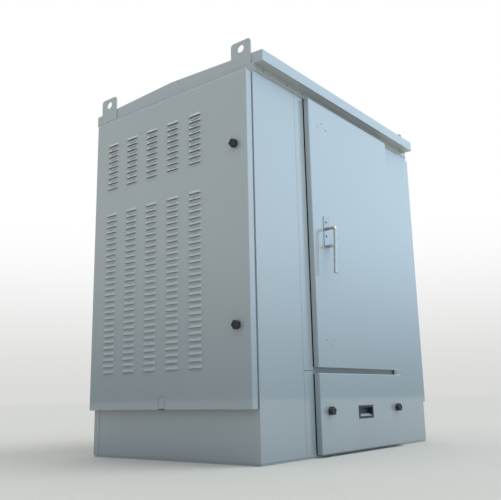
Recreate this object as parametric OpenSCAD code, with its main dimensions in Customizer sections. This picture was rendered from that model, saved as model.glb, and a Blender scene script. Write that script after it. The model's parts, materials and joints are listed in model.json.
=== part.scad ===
// Outdoor equipment cabinet: a main door with a three-point latch, a lift-off battery cover,
// a louvred door on each side, a ridged roof with lifting lugs and a base ring to bolt down.
// Millimetres. Front is -Y, up is +Z, and the origin is the centre of the base's underside.

/* [Overall] */
// Width across the side walls
body_w = 1320; // [1160:10:1600]
// Depth from the front face to the rear face
body_d = 890; // [760:10:1100]
// Height from the floor to the soffit of the roof
body_h = 1494; // [1344:2:1800]
// Thickness of folded sheet
sheet = 2; // [1.5:0.1:2.5]

/* [Front layout] */
// Width of the plain front panel on each side
side_bay_w = 276; // [240:2:320]
// Width of the lock-side strip beside the main door
strip_w = 65; // [50:1:90]
// Height of the line between the battery cover and the main door
mid_h = 326; // [280:2:380]
// Gap between the main door and the battery cover
door_split = 21; // [12:1:30]
// How far the doors stand proud of the front face
door_proud = 26; // [22:1:36]
// Width of the land that the door laps on its hinge side
hinge_lap = 15; // [12:1:20]
// Height of the screwed header strip under the roof
header_h = 29; // [22:1:40]

/* [Roof] */
// Height of the roof's skirt
skirt_h = 48; // [36:1:70]
// Rise of the ridge above the eaves
ridge_rise = 22; // [10:1:60]
// Overhang of the roof at the front
over_front = 44; // [30:1:80]
// Overhang of the roof at the rear
over_rear = 56; // [30:1:80]
// Distance of the roof's sides inside the body's sides
roof_inset = 9; // [8:0.5:14]

/* [Lifting lugs] */
// Width of a lug
lug_w = 100; // [80:2:130]
// Thickness of a lug
lug_t = 6; // [5:0.5:7]
// Height of a lug's top above the eaves
lug_rise = 66; // [50:2:90]
// Diameter of the lifting hole
lug_hole_d = 32; // [24:1:40]
// Distance from the front of the roof to the front lug's centre
lug_inset_front = 104; // [90:2:140]
// Distance from the rear of the roof to the rear lug's centre
lug_inset_rear = 90; // [80:2:140]

/* [Side doors] */
// Depth of a side door outside the body
side_proud = 34; // [30:1:44]
// Height of a side door's lower edge
side_low = 188; // [160:2:240]
// Distance from the soffit down to a side door's upper edge
side_drop = 34; // [20:1:60]
// Length of one louvre
louvre_w = 65; // [50:1:80]
// Distance a louvre's hood stands out
louvre_out = 7; // [4:0.5:9]
// Height of one louvre's hood
louvre_h = 13; // [8:0.5:16]
// Distance from one louvre to the next below it
louvre_pitch = 25; // [20:1:35]
// Distance from one column of louvres to the next
column_pitch = 124; // [90:1:160]
// Rows of louvres in the upper group
upper_rows = 9; // [4:1:12]
// Louvre rows left plain between the groups
plain_rows = 4; // [2:1:8]

/* [Knobs and handle] */
// Diameter of a knob's round base
knob_d = 24; // [18:1:30]
// Diameter across a knob's lobes
knob_span = 34; // [28:1:44]
// Height of a knob
knob_h = 20; // [14:1:26]
// Diameter of a knob's stud
stud_d = 8; // [6:0.5:10]
// Diameter of the lever's bar
lever_d = 16; // [12:0.5:20]
// Length of the lever below its shaft
lever_len = 195; // [150:5:240]
// Distance of the lever's bar in front of the door
lever_stand = 45; // [38:1:60]
// Angle that the closed lever hangs off upright
lever_lean = 4; // [0:1:10]
// Distance of the handle's shaft from the main door's lock edge
handle_in = 97; // [80:1:130]
// Height of the handle's shaft above the main door's lower edge
handle_up = 570; // [420:5:700]
// Width of the flush pull
pull_w = 122; // [100:1:140]
// Height of the flush pull
pull_h = 53; // [44:1:70]

/* [Base] */
// Thickness of the base ring
base_t = 8; // [6:1:12]
// Width of the base ring's bar
base_bar = 70; // [60:2:90]
// Diameter of the anchor holes
anchor_d = 14; // [10:1:18]
// Distance of the anchor holes from the body's sides
anchor_in = 45; // [44:1:52]

/* [Hidden] */
$fn = 48;

// Small gaps between pieces
seam = 1;
run_fit = 0.05;
free_fit = 1.5;

// Outer planes of the body
x_side = body_w / 2;
y_front = -body_d / 2;
y_rear = body_d / 2;
y_skin = y_front + sheet;
z_top = body_h - sheet;

// Posts stand in the corners, between the front and rear skins
post = 30;
post_wall = 2;
y_post = y_skin + post;
wall_recess = 1.5;

// Openings in the front: x_lock and x_hinge are the edges of the recess that the rim lies in
x_bay = x_side - side_bay_w;
x_lock = -x_bay + strip_w;
x_hinge = x_bay - 2 - hinge_lap;
rim_set = 9;
y_rim = y_front + rim_set;
rim_w = 22;
lock_gap = 4;
hinge_gap = 2;
door_off = 3;
door_x0 = x_lock + lock_gap;
door_x1 = x_bay - hinge_gap;
door_z0 = mid_h + door_split / 2;
door_z1 = body_h - header_h - 2;
cover_z0 = base_t + 3;
cover_z1 = mid_h - door_split / 2;
y_door = y_front - door_proud;
y_door_back = y_front - door_off;
lip_w = 16;
gasket_w = 12;
gasket_in = 4;
rail_deep = 30;

// Screws
screw_d = 4.8;
screw_hole_d = 5.2;
screw_head_d = 10;
screw_head_h = 3;
header_t = 3;
z_header_screw = body_h - header_h / 2;
header_screw_x = [-x_side + 65, -x_side + 225, x_lock - 5, x_side - 225, x_side - 65];
rear_screws = 4;
rear_screw_in = 15;
rear_screw_up = 25;
function rear_z(i) = base_t + rear_screw_up + i * (z_top - base_t - 2 * rear_screw_up) / (rear_screws - 1);

// Roof
y_roof0 = y_front - over_front;
y_roof1 = y_rear + over_rear;
z_eave = body_h + skirt_h;
x_roof = x_side - roof_inset;
lip_front = over_front + 10;
lip_side = 30;

// Side doors, with their louvres set out from the rear edge and from the top
edge_in = 5;
y_panel0 = y_front + edge_in;
y_panel1 = y_rear - edge_in;
z_panel1 = body_h - side_drop;
x_panel = x_side + side_proud;
panel_gap = 3;
hinge_return_gap = 8;
louvre_rear = 116;
louvre_front = 203;
louvre_top = 122;
louvre_bottom = 150;
columns = 1 + floor((y_panel1 - y_panel0 - louvre_front - louvre_rear - louvre_w) / column_pitch);
rows = 1 + floor((z_panel1 - side_low - louvre_top - louvre_bottom) / louvre_pitch);
louvre_skin = 1.2;
hood_lip = 2;
notch_w = 35;
notch_h = 53;
notch_shift = 6;
notch_line = 2;
function louvre_y(column) = y_panel1 - louvre_rear - louvre_w / 2 - column * column_pitch;
function louvre_z(row) = z_panel1 - louvre_top - row * louvre_pitch;
function row_used(row) = row < upper_rows || row >= upper_rows + plain_rows;

// Side-door knobs and hinges
knob_in = 59;
knob_from_mid = 342;
y_knob = y_panel0 + knob_in;
z_panel_mid = (side_low + z_panel1) / 2;
side_knob_z = [z_panel_mid + knob_from_mid, z_panel_mid - knob_from_mid];
stud_reach = 14;
knob_base_h = 4;
lobes = 5;
lobe_d = 16;
side_pin_out = 14;
side_pin_in = 14;
side_pin_d = 8;
x_side_pin = x_side + side_pin_out;
y_side_pin = y_rear - side_pin_in;
bracket_h = 40;
bracket_t = 2;
ear_t = 3;
ear_gap = 0.3;
ear_front = 8;
ear_rear = 7;
ear_in = 6;
shelf_clear = 14;
side_hinge_z = [side_low + 110, z_panel_mid, z_panel1 - 110];

// Vents in the side walls, behind the louvres
vent_margin = 12;
vent_y0 = louvre_y(columns - 1) - louvre_w / 2 - vent_margin;
vent_y1 = louvre_y(0) + louvre_w / 2 + vent_margin;
vent_low0 = louvre_z(rows - 1) - vent_margin;
vent_low1 = louvre_z(upper_rows + plain_rows) + louvre_h + vent_margin;
vent_up0 = louvre_z(upper_rows - 1) - vent_margin;
vent_up1 = louvre_z(0) + louvre_h + vent_margin;
filter_t = 20;
filter_lap = 12;

// Main door hinges
pin_d = 6;
barrel_d = 12;
x_pin = door_x1 + 9;
y_pin = y_front - 9;
hinge_h = 80;
hinge_z = [door_z0 + 120, (door_z0 + door_z1) / 2, door_z1 - 120];
leaf_t = 3;

// Handle, cam and rods, placed about the shaft
x_shaft = door_x0 + handle_in;
z_shaft = door_z0 + handle_up;
plate_w = 40;
plate_up = 50;
plate_down = 78;
plate_t = 3;
tab_out = 30;
boss_d = 26;
y_cam = y_rim + 2;
cam_t = 4;
cam_r = 25;
cam_disc_d = 74;
cam_pin_d = 8;
rod_gap = 0.4;
rod_t = 4;
rod_w = 16;
y_rod = y_cam + cam_t + rod_gap;
yoke_slack = 1.2;
yoke_wall = 5;
jog_up = 80;
rod_rest_gap = 4;
cam_rise = cam_r * sin(45);
guide_in = 105;
guide_h = 30;
rivet_drop = 6;
rivet_fit = 0.1;
guide_z = [door_z1 - guide_in, door_z0 + guide_in];
rivet_d = 5;
rivet_span = 32;
rivet_rise = 22;

// Battery cover
x_cover_mid = (door_x0 + door_x1) / 2;
z_pull = cover_z0 + 149;
z_cover_knob = cover_z0 + 159;
cover_knob_in = 65;
cover_knob_x = [door_x0 + cover_knob_in, door_x1 - cover_knob_in];
pull_deep = 18;
pull_wall = 1.5;
pull_rim = 8;

// Inside
rack_half = 232.5;
rack_y = y_front + 120;
rack_hole = 9.5;
rack_hole_pitch = 44.45;
rack_rail_w = 22;
rack_rail_d = 40;
z_shelf = mid_h - 2;
z_rack0 = z_shelf + 30;
z_rack1 = body_h - 64;
rack_holes = floor((z_rack1 - z_rack0 - rack_hole) / rack_hole_pitch);
gland_w = 320;
gland_d = 170;
gland_hole_d = 32.3;
gland_pitch_x = 180;
gland_pitch_y = 70;
slot_w = 160;
slot_h = 12;
slot_pitch = 40;

paint = [0.72, 0.76, 0.78];
paint_dark = [0.60, 0.63, 0.65];
zinc = [0.78, 0.79, 0.80];
stainless = [0.80, 0.80, 0.79];
black = [0.10, 0.10, 0.11];
foam = [0.22, 0.22, 0.23];
copper = [0.80, 0.55, 0.35];

// ---------- shared shapes ----------

// Box between two opposite corners
module block(low, high) {
    translate(low) cube(high - low);
}

// Rectangle with its two upper corners rounded, standing on Y = 0 and centred on X = 0
module round_top(w, h, r) {
    translate([-w / 2, 0]) square([w, h - r]);
    translate([-w / 2 + r, 0]) square([w - 2 * r, h]);
    for (side = [-1, 1]) translate([side * (w / 2 - r), h - r]) circle(r);
}

// Rod along Y, from y0 to y1
module rod_y(x, y0, y1, z, d) {
    translate([x, y0, z]) rotate([-90, 0, 0]) cylinder(d = d, h = y1 - y0);
}

// Rod along X, from x0 to x1
module rod_x(x0, x1, y, z, d) {
    translate([x0, y, z]) rotate([0, 90, 0]) cylinder(d = d, h = x1 - x0);
}

// Copies its children to the right-hand side as well, or instead
module on_side(side) {
    if (side < 0) children();
    else mirror([1, 0, 0]) children();
}

// Folded pan facing the front: skin, four returns and an inner lip at the back
module front_pan(x0, x1, z0, z1) {
    difference() {
        block([x0, y_door, z0], [x1, y_door_back, z1]);
        block([x0 + sheet, y_door + sheet, z0 + sheet], [x1 - sheet, y_door_back - sheet, z1 - sheet]);
        block([x0 + lip_w, y_door + sheet, z0 + lip_w], [x1 - lip_w, y_door_back + 1, z1 - lip_w]);
    }
}

// Gasket ring on a front pan's lip, reaching back to the rim
module front_gasket(x0, x1, z0, z1) {
    difference() {
        block([x0, y_door_back, z0], [x1, y_rim, z1]);
        block([x0 + gasket_w, y_door_back - 1, z0 + gasket_w], [x1 - gasket_w, y_rim + 1, z1 - gasket_w]);
    }
}

// ---------- base and floor ----------

module base_ring() {
    inset = 3;
    color(paint_dark) difference() {
        block([-x_side + inset, y_front + inset, 0], [x_side - inset, y_rear - inset, base_t]);
        block([-x_side + base_bar, y_front + base_bar, -1],
              [x_side - base_bar, y_rear - base_bar, base_t + 1]);
        anchor_holes(anchor_d, -1, base_t + 1);
    }
}

module anchor_holes(d, z0, z1) {
    for (sx = [-1, 1]) for (sy = [-1, 1])
        translate([sx * (x_side - anchor_in), sy * (y_rear - anchor_in), z0]) cylinder(d = d, h = z1 - z0);
}

module floor_plate() {
    bolt_room = 66;
    lap = 25;
    color(zinc) difference() {
        block([-x_side + post + seam, y_post + seam, base_t],
              [x_side - post - seam, -y_post - seam, base_t + sheet]);
        block([-gland_w / 2 + lap, -gland_d / 2 + lap, 0],
              [gland_w / 2 - lap, gland_d / 2 - lap, base_t + 9]);
        for (sx = [-1, 1]) for (sy = [-1, 1])
            translate([sx * x_side, sy * y_rear, base_t])
                cube([2 * bolt_room, 2 * bolt_room, 9], center = true);
    }
}

module gland_plate() {
    z0 = base_t + sheet;
    color(zinc) difference() {
        block([-gland_w / 2, -gland_d / 2, z0], [gland_w / 2, gland_d / 2, z0 + 3]);
        for (sx = [-1, 1]) for (sy = [-1, 1])
            translate([sx * gland_pitch_x / 2, sy * gland_pitch_y / 2, z0 - 1])
                cylinder(d = gland_hole_d, h = 9);
    }
}

// ---------- frame ----------

module corner_post(side, front) {
    y0 = front ? y_skin : -y_post;
    color(paint) on_side(side) difference() {
        block([-x_side, y0, base_t], [-x_side + post, y0 + post, z_top]);
        block([-x_side + post_wall, y0 + post_wall, base_t - 1],
              [-x_side + post - post_wall, y0 + post - post_wall, z_top + 1]);
    }
}

// Cross rail behind the rim: a face with a flange at each edge that is asked for
module cross_rail(z0, z1, low_flange, high_flange) {
    block([x_lock, y_rim, z0], [x_hinge, y_rim + sheet, z1]);
    if (low_flange) block([x_lock, y_rim + sheet, z0], [x_hinge, y_rim + rail_deep, z0 + sheet]);
    if (high_flange) block([x_lock, y_rim + sheet, z1 - sheet], [x_hinge, y_rim + rail_deep, z1]);
}

module sill_rail() {
    color(paint_dark) cross_rail(base_t + sheet, cover_z0 + 25, true, false);
}

module mid_rail() {
    color(paint_dark) cross_rail(cover_z1 - 25, door_z0 + 25, true, true);
}

module top_rail() {
    color(paint_dark) cross_rail(door_z1 - 25, z_top, false, true);
}

// Z-shaped strip beside an opening: face, fold back and rim, with a leg against the partition
module jamb(face_x, fold_x, rim_x, leg_x, z0, z1) {
    low = min(face_x, fold_x);
    high = max(face_x, fold_x);
    inward = fold_x > face_x ? -1 : 1;
    block([low, y_front, z0], [high, y_skin, z1]);
    block([min(fold_x, fold_x + inward * sheet), y_front, z0],
          [max(fold_x, fold_x + inward * sheet), y_rim + sheet, z1]);
    block([min(leg_x, leg_x - inward * sheet), y_skin, z0],
          [max(leg_x, leg_x - inward * sheet), y_skin + rail_deep, z1]);
    difference() {
        block([min(fold_x, rim_x), y_rim, z0], [max(fold_x, rim_x), y_rim + sheet, z1]);
        for (cut = [[base_t, cover_z0 + 25], [cover_z1 - 25, door_z0 + 25], [door_z1 - 25, body_h]])
            block([min(fold_x, rim_x) - (inward < 0 ? 0 : 1), y_rim - 1, cut[0] - seam / 2],
                  [max(fold_x, rim_x) + (inward < 0 ? 1 : 0), y_rim + sheet + 1, cut[1] + seam / 2]);
    }
}

module lock_strip_upper() {
    color(paint) lock_strip(mid_h - 1, body_h - 4);
}

module lock_strip_lower() {
    color(paint) lock_strip(base_t, mid_h - 2.5);
    color(paint) receptacle_tab(x_lock, cover_knob_x[0]);
}

module lock_strip(z0, z1) {
    jamb(-x_bay + seam, x_lock, x_lock + rim_w, -x_bay + sheet, z0, z1);
}

module hinge_post() {
    color(paint) jamb(x_bay - seam / 2, x_hinge, x_hinge - rim_w, x_bay - sheet, base_t, body_h - 4);
    color(paint) receptacle_tab(x_hinge, cover_knob_x[1]);
}

// Tab folded inwards from a jamb, to carry a quarter-turn receptacle behind the battery cover
module receptacle_tab(from_x, to_x) {
    half = 16;
    reach = to_x > from_x ? half : -half;
    difference() {
        block([min(from_x, to_x + reach), y_rim, z_cover_knob - half],
              [max(from_x, to_x + reach), y_rim + sheet, z_cover_knob + half]);
        rod_y(to_x, y_rim - 1, y_rim + sheet + 1, z_cover_knob, stud_d + 2 * free_fit);
    }
}

// ---------- skins ----------

module front_panel_left() {
    color(paint) screwed_plate(-x_side, -x_bay - seam / 2, [header_screw_x[0], header_screw_x[1]]);
}

module front_panel_right() {
    color(paint) screwed_plate(x_bay + seam / 2, x_side, [header_screw_x[3], header_screw_x[4]]);
}

module screwed_plate(x0, x1, screws) {
    difference() {
        block([x0, y_front, base_t], [x1, y_skin, body_h - 4]);
        for (x = screws) rod_y(x, y_front - 1, y_skin + 1, z_header_screw, screw_hole_d);
    }
}

module header_strip() {
    color(paint) difference() {
        block([-x_side, y_front - header_t, body_h - header_h], [x_side, y_front, body_h]);
        for (x = header_screw_x) rod_y(x, y_front - header_t - 1, y_front + 1, z_header_screw, screw_hole_d);
    }
}

// Screw places round the rear panel's edge
module at_rear_screws() {
    for (k = [0 : rear_screws - 1]) for (side = [-1, 1])
        translate([side * (x_side - rear_screw_in), y_rear, rear_z(k)]) children();
}

module rear_panel() {
    color(paint) difference() {
        block([-x_side, y_rear - sheet, base_t], [x_side, y_rear, z_top]);
        at_rear_screws() rotate([90, 0, 0]) translate([0, 0, -1]) cylinder(d = screw_hole_d, h = 9);
    }
}

// Pan-head screw pointing along -Z from its seat at Z = 0
module screw(grip) {
    cylinder(d = screw_head_d, h = screw_head_h);
    translate([0, 0, -grip]) cylinder(d = screw_d, h = grip);
}

module panel_screws() {
    color(zinc) {
        for (x = header_screw_x)
            translate([x, y_front - header_t, z_header_screw]) rotate([90, 0, 0]) screw(header_t);
        at_rear_screws() rotate([-90, 0, 0]) screw(sheet);
    }
}

// Side wall between the posts, with a vent behind each group of louvres
module side_wall(side) {
    x0 = -x_side + wall_recess;
    color(paint) on_side(side) difference() {
        block([x0, y_post, base_t], [x0 + sheet, -y_post, z_top]);
        block([x0 - 1, vent_y0, vent_low0], [x0 + sheet + 1, vent_y1, vent_low1]);
        block([x0 - 1, vent_y0, vent_up0], [x0 + sheet + 1, vent_y1, vent_up1]);
        for (z = side_knob_z) rod_x(x0 - 1, x0 + sheet + 1, y_knob, z, stud_d + 2 * free_fit);
    }
}

module filter(side) {
    x0 = -x_side + wall_recess + sheet;
    color(foam) on_side(side)
        block([x0, vent_y0 - filter_lap, vent_low0 - filter_lap],
              [x0 + filter_t, vent_y1 + filter_lap, vent_up1 + filter_lap]);
}

// Wall between the equipment bay and a side chamber, with slots low and high
module partition(side) {
    x0 = -x_bay;
    slots = 5;
    color(zinc) on_side(side) difference() {
        block([x0, y_front + 4, base_t + sheet], [x0 + sheet, y_rear - sheet - 2, z_top]);
        for (i = [0 : slots - 1]) for (y = [-slot_w - 20, 20]) for (z = [door_z0 + 100, door_z1 - 300])
            block([x0 - 1, y, z + i * slot_pitch], [x0 + sheet + 1, y + slot_w, z + i * slot_pitch + slot_h]);
    }
}

module compartment_shelf() {
    rear_gap = 4;
    color(zinc) block([-x_bay + sheet, y_rim + rail_deep, z_shelf - sheet],
                      [x_bay - sheet, y_rear - sheet - rear_gap, z_shelf]);
    color(zinc) block([x_lock, y_rim + sheet, z_shelf - sheet], [x_hinge, y_rim + rail_deep, z_shelf]);
}

// ---------- inside ----------

module rack_rail(side) {
    color(zinc) on_side(side) {
        difference() {
            block([-rack_half - rack_rail_w / 2, rack_y, z_rack0],
                  [-rack_half + rack_rail_w / 2, rack_y + sheet, z_rack1]);
            for (i = [0 : rack_holes - 1])
                translate([-rack_half - rack_hole / 2, rack_y - 1, z_rack0 + 18 + i * rack_hole_pitch])
                    cube([rack_hole, sheet + 2, rack_hole]);
        }
        block([-rack_half - rack_rail_w / 2, rack_y + sheet, z_rack0],
              [-rack_half - rack_rail_w / 2 + sheet, rack_y + rack_rail_d, z_rack1]);
    }
}

module rack_crossbars() {
    color(zinc) for (z = [z_shelf, z_rack1])
        difference() {
            block([-x_bay + sheet, rack_y, z], [x_bay - sheet, rack_y + rack_rail_d, z + 30]);
            block([-x_bay, rack_y + sheet, z + sheet], [x_bay, rack_y + rack_rail_d - sheet, z + 28]);
        }
}

module earth_bar() {
    holes = 6;
    bar_l = 300;
    bar_t = 5;
    bar_h = 25;
    hole_d = 8.4;
    end_in = 25;
    step = (bar_l - 2 * end_in) / (holes - 1);
    x0 = -x_bay + sheet;
    z0 = door_z0 + 45;
    color(copper) difference() {
        block([x0, -bar_l / 2, z0], [x0 + bar_t, bar_l / 2, z0 + bar_h]);
        for (i = [0 : holes - 1])
            rod_x(x0 - 1, x0 + bar_t + 1, -bar_l / 2 + end_in + i * step, z0 + bar_h / 2, hole_d);
    }
}

module top_plate() {
    color(zinc) block([-x_side + 2, y_front, z_top], [x_side - 2, y_rear, body_h]);
}

// ---------- roof ----------

// Side outline of the roof: skirts with a shallow ridge between them, shrunk by t
module roof_outline(t) {
    polygon([
        [y_roof0 + t, body_h + t],
        [y_roof0 + t, z_eave - t],
        [(y_roof0 + y_roof1) / 2, z_eave + ridge_rise - t],
        [y_roof1 - t, z_eave - t],
        [y_roof1 - t, body_h + t]
    ]);
}

// Places a side outline (Y, Z) so that it runs along X from -half to half
module along_x(half) {
    translate([-half, 0, 0]) rotate([90, 0, 90]) linear_extrude(2 * half) children();
}

module roof() {
    color(paint) difference() {
        along_x(x_roof) roof_outline(0);
        along_x(x_roof - sheet) roof_outline(sheet);
        block([-x_roof + lip_side, y_roof0 + lip_front, body_h - 1],
              [x_roof - lip_side, y_roof1 - lip_front, body_h + sheet + 1]);
    }
}

module lug(side, y) {
    corner_r = 14;
    foot = 1;
    rise = skirt_h + lug_rise - foot;
    hole_up = skirt_h + lug_rise - lug_hole_d - foot;
    color(paint) on_side(side)
        translate([-x_roof - lug_t, y, body_h + foot]) rotate([90, 0, 90])
            linear_extrude(lug_t) difference() {
                round_top(lug_w, rise, corner_r);
                translate([0, hole_up]) circle(d = lug_hole_d);
            }
}

y_lug_front = y_roof0 + lug_inset_front;
y_lug_rear = y_roof1 - lug_inset_rear;

// ---------- hinges and receptacles ----------

// Fixed half of a lift-off hinge: leaf on the front panel, lower barrel and the pin
module door_hinge_pins() {
    half = hinge_h / 2;
    leaf_w = 20;
    color(stainless) for (z = hinge_z) {
        translate([x_pin, y_pin, z - half]) cylinder(d = barrel_d, h = half - 0.3);
        translate([x_pin, y_pin, z - 1]) cylinder(d = pin_d, h = half - 4);
        block([x_pin - 3, y_pin + 3, z - half], [x_pin + 3, y_front, z - 0.3]);
        block([x_pin - 3, y_front - leaf_t, z - half], [x_pin + leaf_w, y_front, z - 0.3]);
    }
}

// Moving half: wing on the door's side and the upper barrel that drops over the pin
module door_hinge_wings() {
    half = hinge_h / 2;
    color(stainless) for (z = hinge_z) difference() {
        union() {
            translate([x_pin, y_pin, z]) cylinder(d = barrel_d, h = half);
            block([door_x1, y_door + 2, z], [door_x1 + leaf_t, y_door_back - 2, z + half]);
            block([door_x1 + 1, y_pin - 4, z], [x_pin - pin_d / 2 - 1, y_pin + 4, z + half]);
        }
        translate([x_pin, y_pin, z - 1]) cylinder(d = pin_d + 2 * run_fit, h = half - 2);
    }
}

// Bracket on the rear post's side with an upright pin that the side door's ear drops over
module side_hinge_pins() {
    shelf_r = 6;
    color(stainless) for (side = [-1, 1]) on_side(side) for (z = side_hinge_z) {
        block([-x_side - bracket_t, y_rear - post - sheet + 1, z - bracket_h], [-x_side, y_side_pin + 6, z]);
        block([-x_side_pin, y_side_pin - shelf_r, z - 4], [-x_side - bracket_t, y_side_pin + shelf_r, z]);
        translate([-x_side_pin, y_side_pin, z - 4]) cylinder(r = shelf_r, h = 4);
        translate([-x_side_pin, y_side_pin, z - 4]) cylinder(d = side_pin_d, h = 16);
    }
}

// Ring that a quarter-turn stud plugs into
module receptacle() {
    ring_h = 6;
    difference() {
        cylinder(d = stud_d + 14, h = ring_h);
        translate([0, 0, -1]) cylinder(d = stud_d + 2 * free_fit, h = ring_h + 2);
    }
}

module latch_receptacles() {
    color(zinc) {
        for (side = [-1, 1]) on_side(side) for (z = side_knob_z)
            translate([-x_side + wall_recess + sheet, y_knob, z]) rotate([0, 90, 0]) receptacle();
        for (x = cover_knob_x) translate([x, y_rim + sheet, z_cover_knob]) rotate([-90, 0, 0]) receptacle();
    }
}

// ---------- main door ----------

module main_door() {
    hole = boss_d + 0.6;
    color(paint) difference() {
        front_pan(door_x0, door_x1, door_z0, door_z1);
        rod_y(x_shaft, y_door - 1, y_door + 9, z_shaft, hole);
        for (z = handle_bolt_z) rod_y(x_shaft, y_door - 1, y_door + 9, z, bolt_hole_d);
        at_rivets() translate([0, -1, 0]) rotate([-90, 0, 0]) cylinder(d = rivet_d + 0.2, h = 9);
    }
}

module door_gasket() {
    color(black) front_gasket(door_x0 + gasket_in, door_x1 - hinge_lap - gasket_in,
                              door_z0 + gasket_in, door_z1 - gasket_in);
}

bolt_d = 6;
bolt_hole_d = 6.4;
bolt_head_d = 11;
handle_bolt_z = [z_shaft + 28, z_shaft - 32];

module handle_plate() {
    tab_t = 3;
    z0 = z_shaft - plate_down;
    y0 = y_door - plate_t;
    color(stainless) difference() {
        union() {
            block([x_shaft - plate_w / 2, y0, z0], [x_shaft + plate_w / 2, y_door, z_shaft + plate_up]);
            block([x_shaft - plate_w / 2, y0 - tab_out, z0], [x_shaft + plate_w / 2, y0, z0 + tab_t]);
            rod_y(x_shaft, y_door - 1, y_cam - 1, z_shaft, boss_d);
        }
        rod_y(x_shaft, y0 - 1, y_cam, z_shaft, lever_d + 2 * run_fit);
        for (z = handle_bolt_z) rod_y(x_shaft, y0 - 1, y_door + 1, z, bolt_hole_d);
        translate([x_shaft, y0 - tab_out / 2 - 1, z0 - 1]) cylinder(d = 9, h = tab_t + 2);
    }
}

module handle_bolts() {
    y0 = y_door - plate_t;
    color(stainless) for (z = handle_bolt_z) {
        rod_y(x_shaft, y0 - 4, y0, z, bolt_head_d);
        rod_y(x_shaft, y0, y_door + sheet + 6, z, bolt_d);
    }
}

// Shaft through the door, a quarter bend and the round bar hanging down, cut off square
module handle_lever() {
    bend_r = 14;
    y_bar = y_door - lever_stand;
    color(stainless) {
        translate([x_shaft, y_bar, z_shaft]) rotate([0, lever_lean, 0]) {
            rod_y(0, bend_r, y_cam + cam_t - y_bar, 0, lever_d);
            translate([0, bend_r, -bend_r]) rotate([0, -90, 0])
                rotate_extrude(angle = -90) translate([bend_r, 0]) circle(d = lever_d);
            translate([0, 0, -lever_len]) cylinder(d = lever_d, h = lever_len - bend_r);
        }
    }
}

// Disc on the shaft's inner end with the two pins that drive the rods
module latch_cam() {
    color(zinc) {
        difference() {
            rod_y(x_shaft, y_cam, y_cam + cam_t, z_shaft, cam_disc_d);
            rod_y(x_shaft, y_cam - 1, y_cam + cam_t + 1, z_shaft, lever_d + 2 * run_fit);
        }
        for (turn = [-1, 1])
            rod_y(x_shaft + turn * cam_rise, y_cam + cam_t, y_rod + rod_t,
                  z_shaft - turn * cam_rise, cam_pin_d);
    }
}

// Flat rod seen from the front, measured from the shaft: a slotted yoke, a jog and the bar
module rod_outline(reach) {
    slot_half = cam_pin_d / 2 + yoke_slack;
    yoke_half = slot_half + yoke_wall;
    yoke_x0 = -cam_r - slot_half - yoke_wall;
    yoke_x1 = -2;
    difference() {
        union() {
            translate([yoke_x0, cam_rise - yoke_half]) square([yoke_x1 - yoke_x0, 2 * yoke_half]);
            translate([yoke_x1 - rod_w, cam_rise]) square([rod_w, jog_up - cam_rise + rod_w]);
            translate([yoke_x1 - rod_w, jog_up]) square([rod_w / 2 - yoke_x1 + rod_w, rod_w]);
            translate([-rod_w / 2, jog_up]) square([rod_w, reach - jog_up - rod_w / 2]);
            translate([0, reach - rod_w / 2]) circle(d = rod_w);
        }
        translate([-cam_r - slot_half, cam_rise - slot_half])
            square([cam_r - cam_rise + 2 * slot_half, 2 * slot_half]);
    }
}

module upper_rod() {
    reach = door_z1 - 25 - rod_rest_gap - z_shaft;
    color(zinc) translate([x_shaft, y_rod, z_shaft]) rotate([90, 0, 0]) mirror([0, 0, 1])
        linear_extrude(rod_t) rod_outline(reach);
}

module lower_rod() {
    reach = z_shaft - door_z0 - 25 - rod_rest_gap;
    color(zinc) translate([x_shaft, y_rod, z_shaft]) rotate([0, 180, 0]) rotate([90, 0, 0]) mirror([0, 0, 1])
        linear_extrude(rod_t) rod_outline(reach);
}

// Rivet places: a triangle at each guide, pointing to the nearer end of the door
module at_rivets() {
    for (i = [0, 1]) {
        point = i == 0 ? 1 : -1;
        for (place = [[-rivet_span, 0], [rivet_span, 0], [0, point * rivet_rise]])
            translate([x_shaft + place[0], y_door, guide_z[i] + place[1] - point * rivet_drop]) children();
    }
}

// Foot riveted inside the door, with a stem and a loop that the rod slides through
module rod_guides() {
    slide_fit = 0.6;
    loop_wall = 2;
    loop_w = rod_w + 2 * slide_fit;
    foot_edge = 10;
    stem_half = 8;
    stem_down = 6;
    stem_up = 4;
    y0 = y_door + sheet;
    y_loop = y_rod - slide_fit - loop_wall;
    color(zinc) for (i = [0, 1]) {
        point = i == 0 ? 1 : -1;
        z0 = guide_z[i] - guide_h / 2;
        z_stem = guide_z[i] - point * rivet_drop;
        difference() {
            block([x_shaft - rivet_span - foot_edge, y0, z0],
                  [x_shaft + rivet_span + foot_edge, y0 + sheet, z0 + guide_h]);
            for (place = [[-rivet_span, 0], [rivet_span, 0], [0, point * rivet_rise]])
                rod_y(x_shaft + place[0], y0 - 1, y0 + sheet + 1, z_stem + place[1], rivet_d + 2 * rivet_fit);
        }
        block([x_shaft - stem_half, y0 + sheet, z_stem - stem_down],
              [x_shaft + stem_half, y_loop, z_stem + stem_up]);
        difference() {
            block([x_shaft - loop_w / 2 - loop_wall, y_loop, z0],
                  [x_shaft + loop_w / 2 + loop_wall, y_rod + rod_t + slide_fit + loop_wall, z0 + guide_h]);
            block([x_shaft - loop_w / 2, y_rod - slide_fit, z0 - 1],
                  [x_shaft + loop_w / 2, y_rod + rod_t + slide_fit, z0 + guide_h + 1]);
        }
    }
}

module guide_rivets() {
    head_r = 5;
    head_h = 2;
    color(paint_dark) at_rivets() {
        rotate([90, 0, 0]) cylinder(r = head_r, h = head_h);
        rotate([-90, 0, 0]) cylinder(d = rivet_d, h = 2 * sheet + 1);
    }
}

// ---------- battery cover ----------

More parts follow.
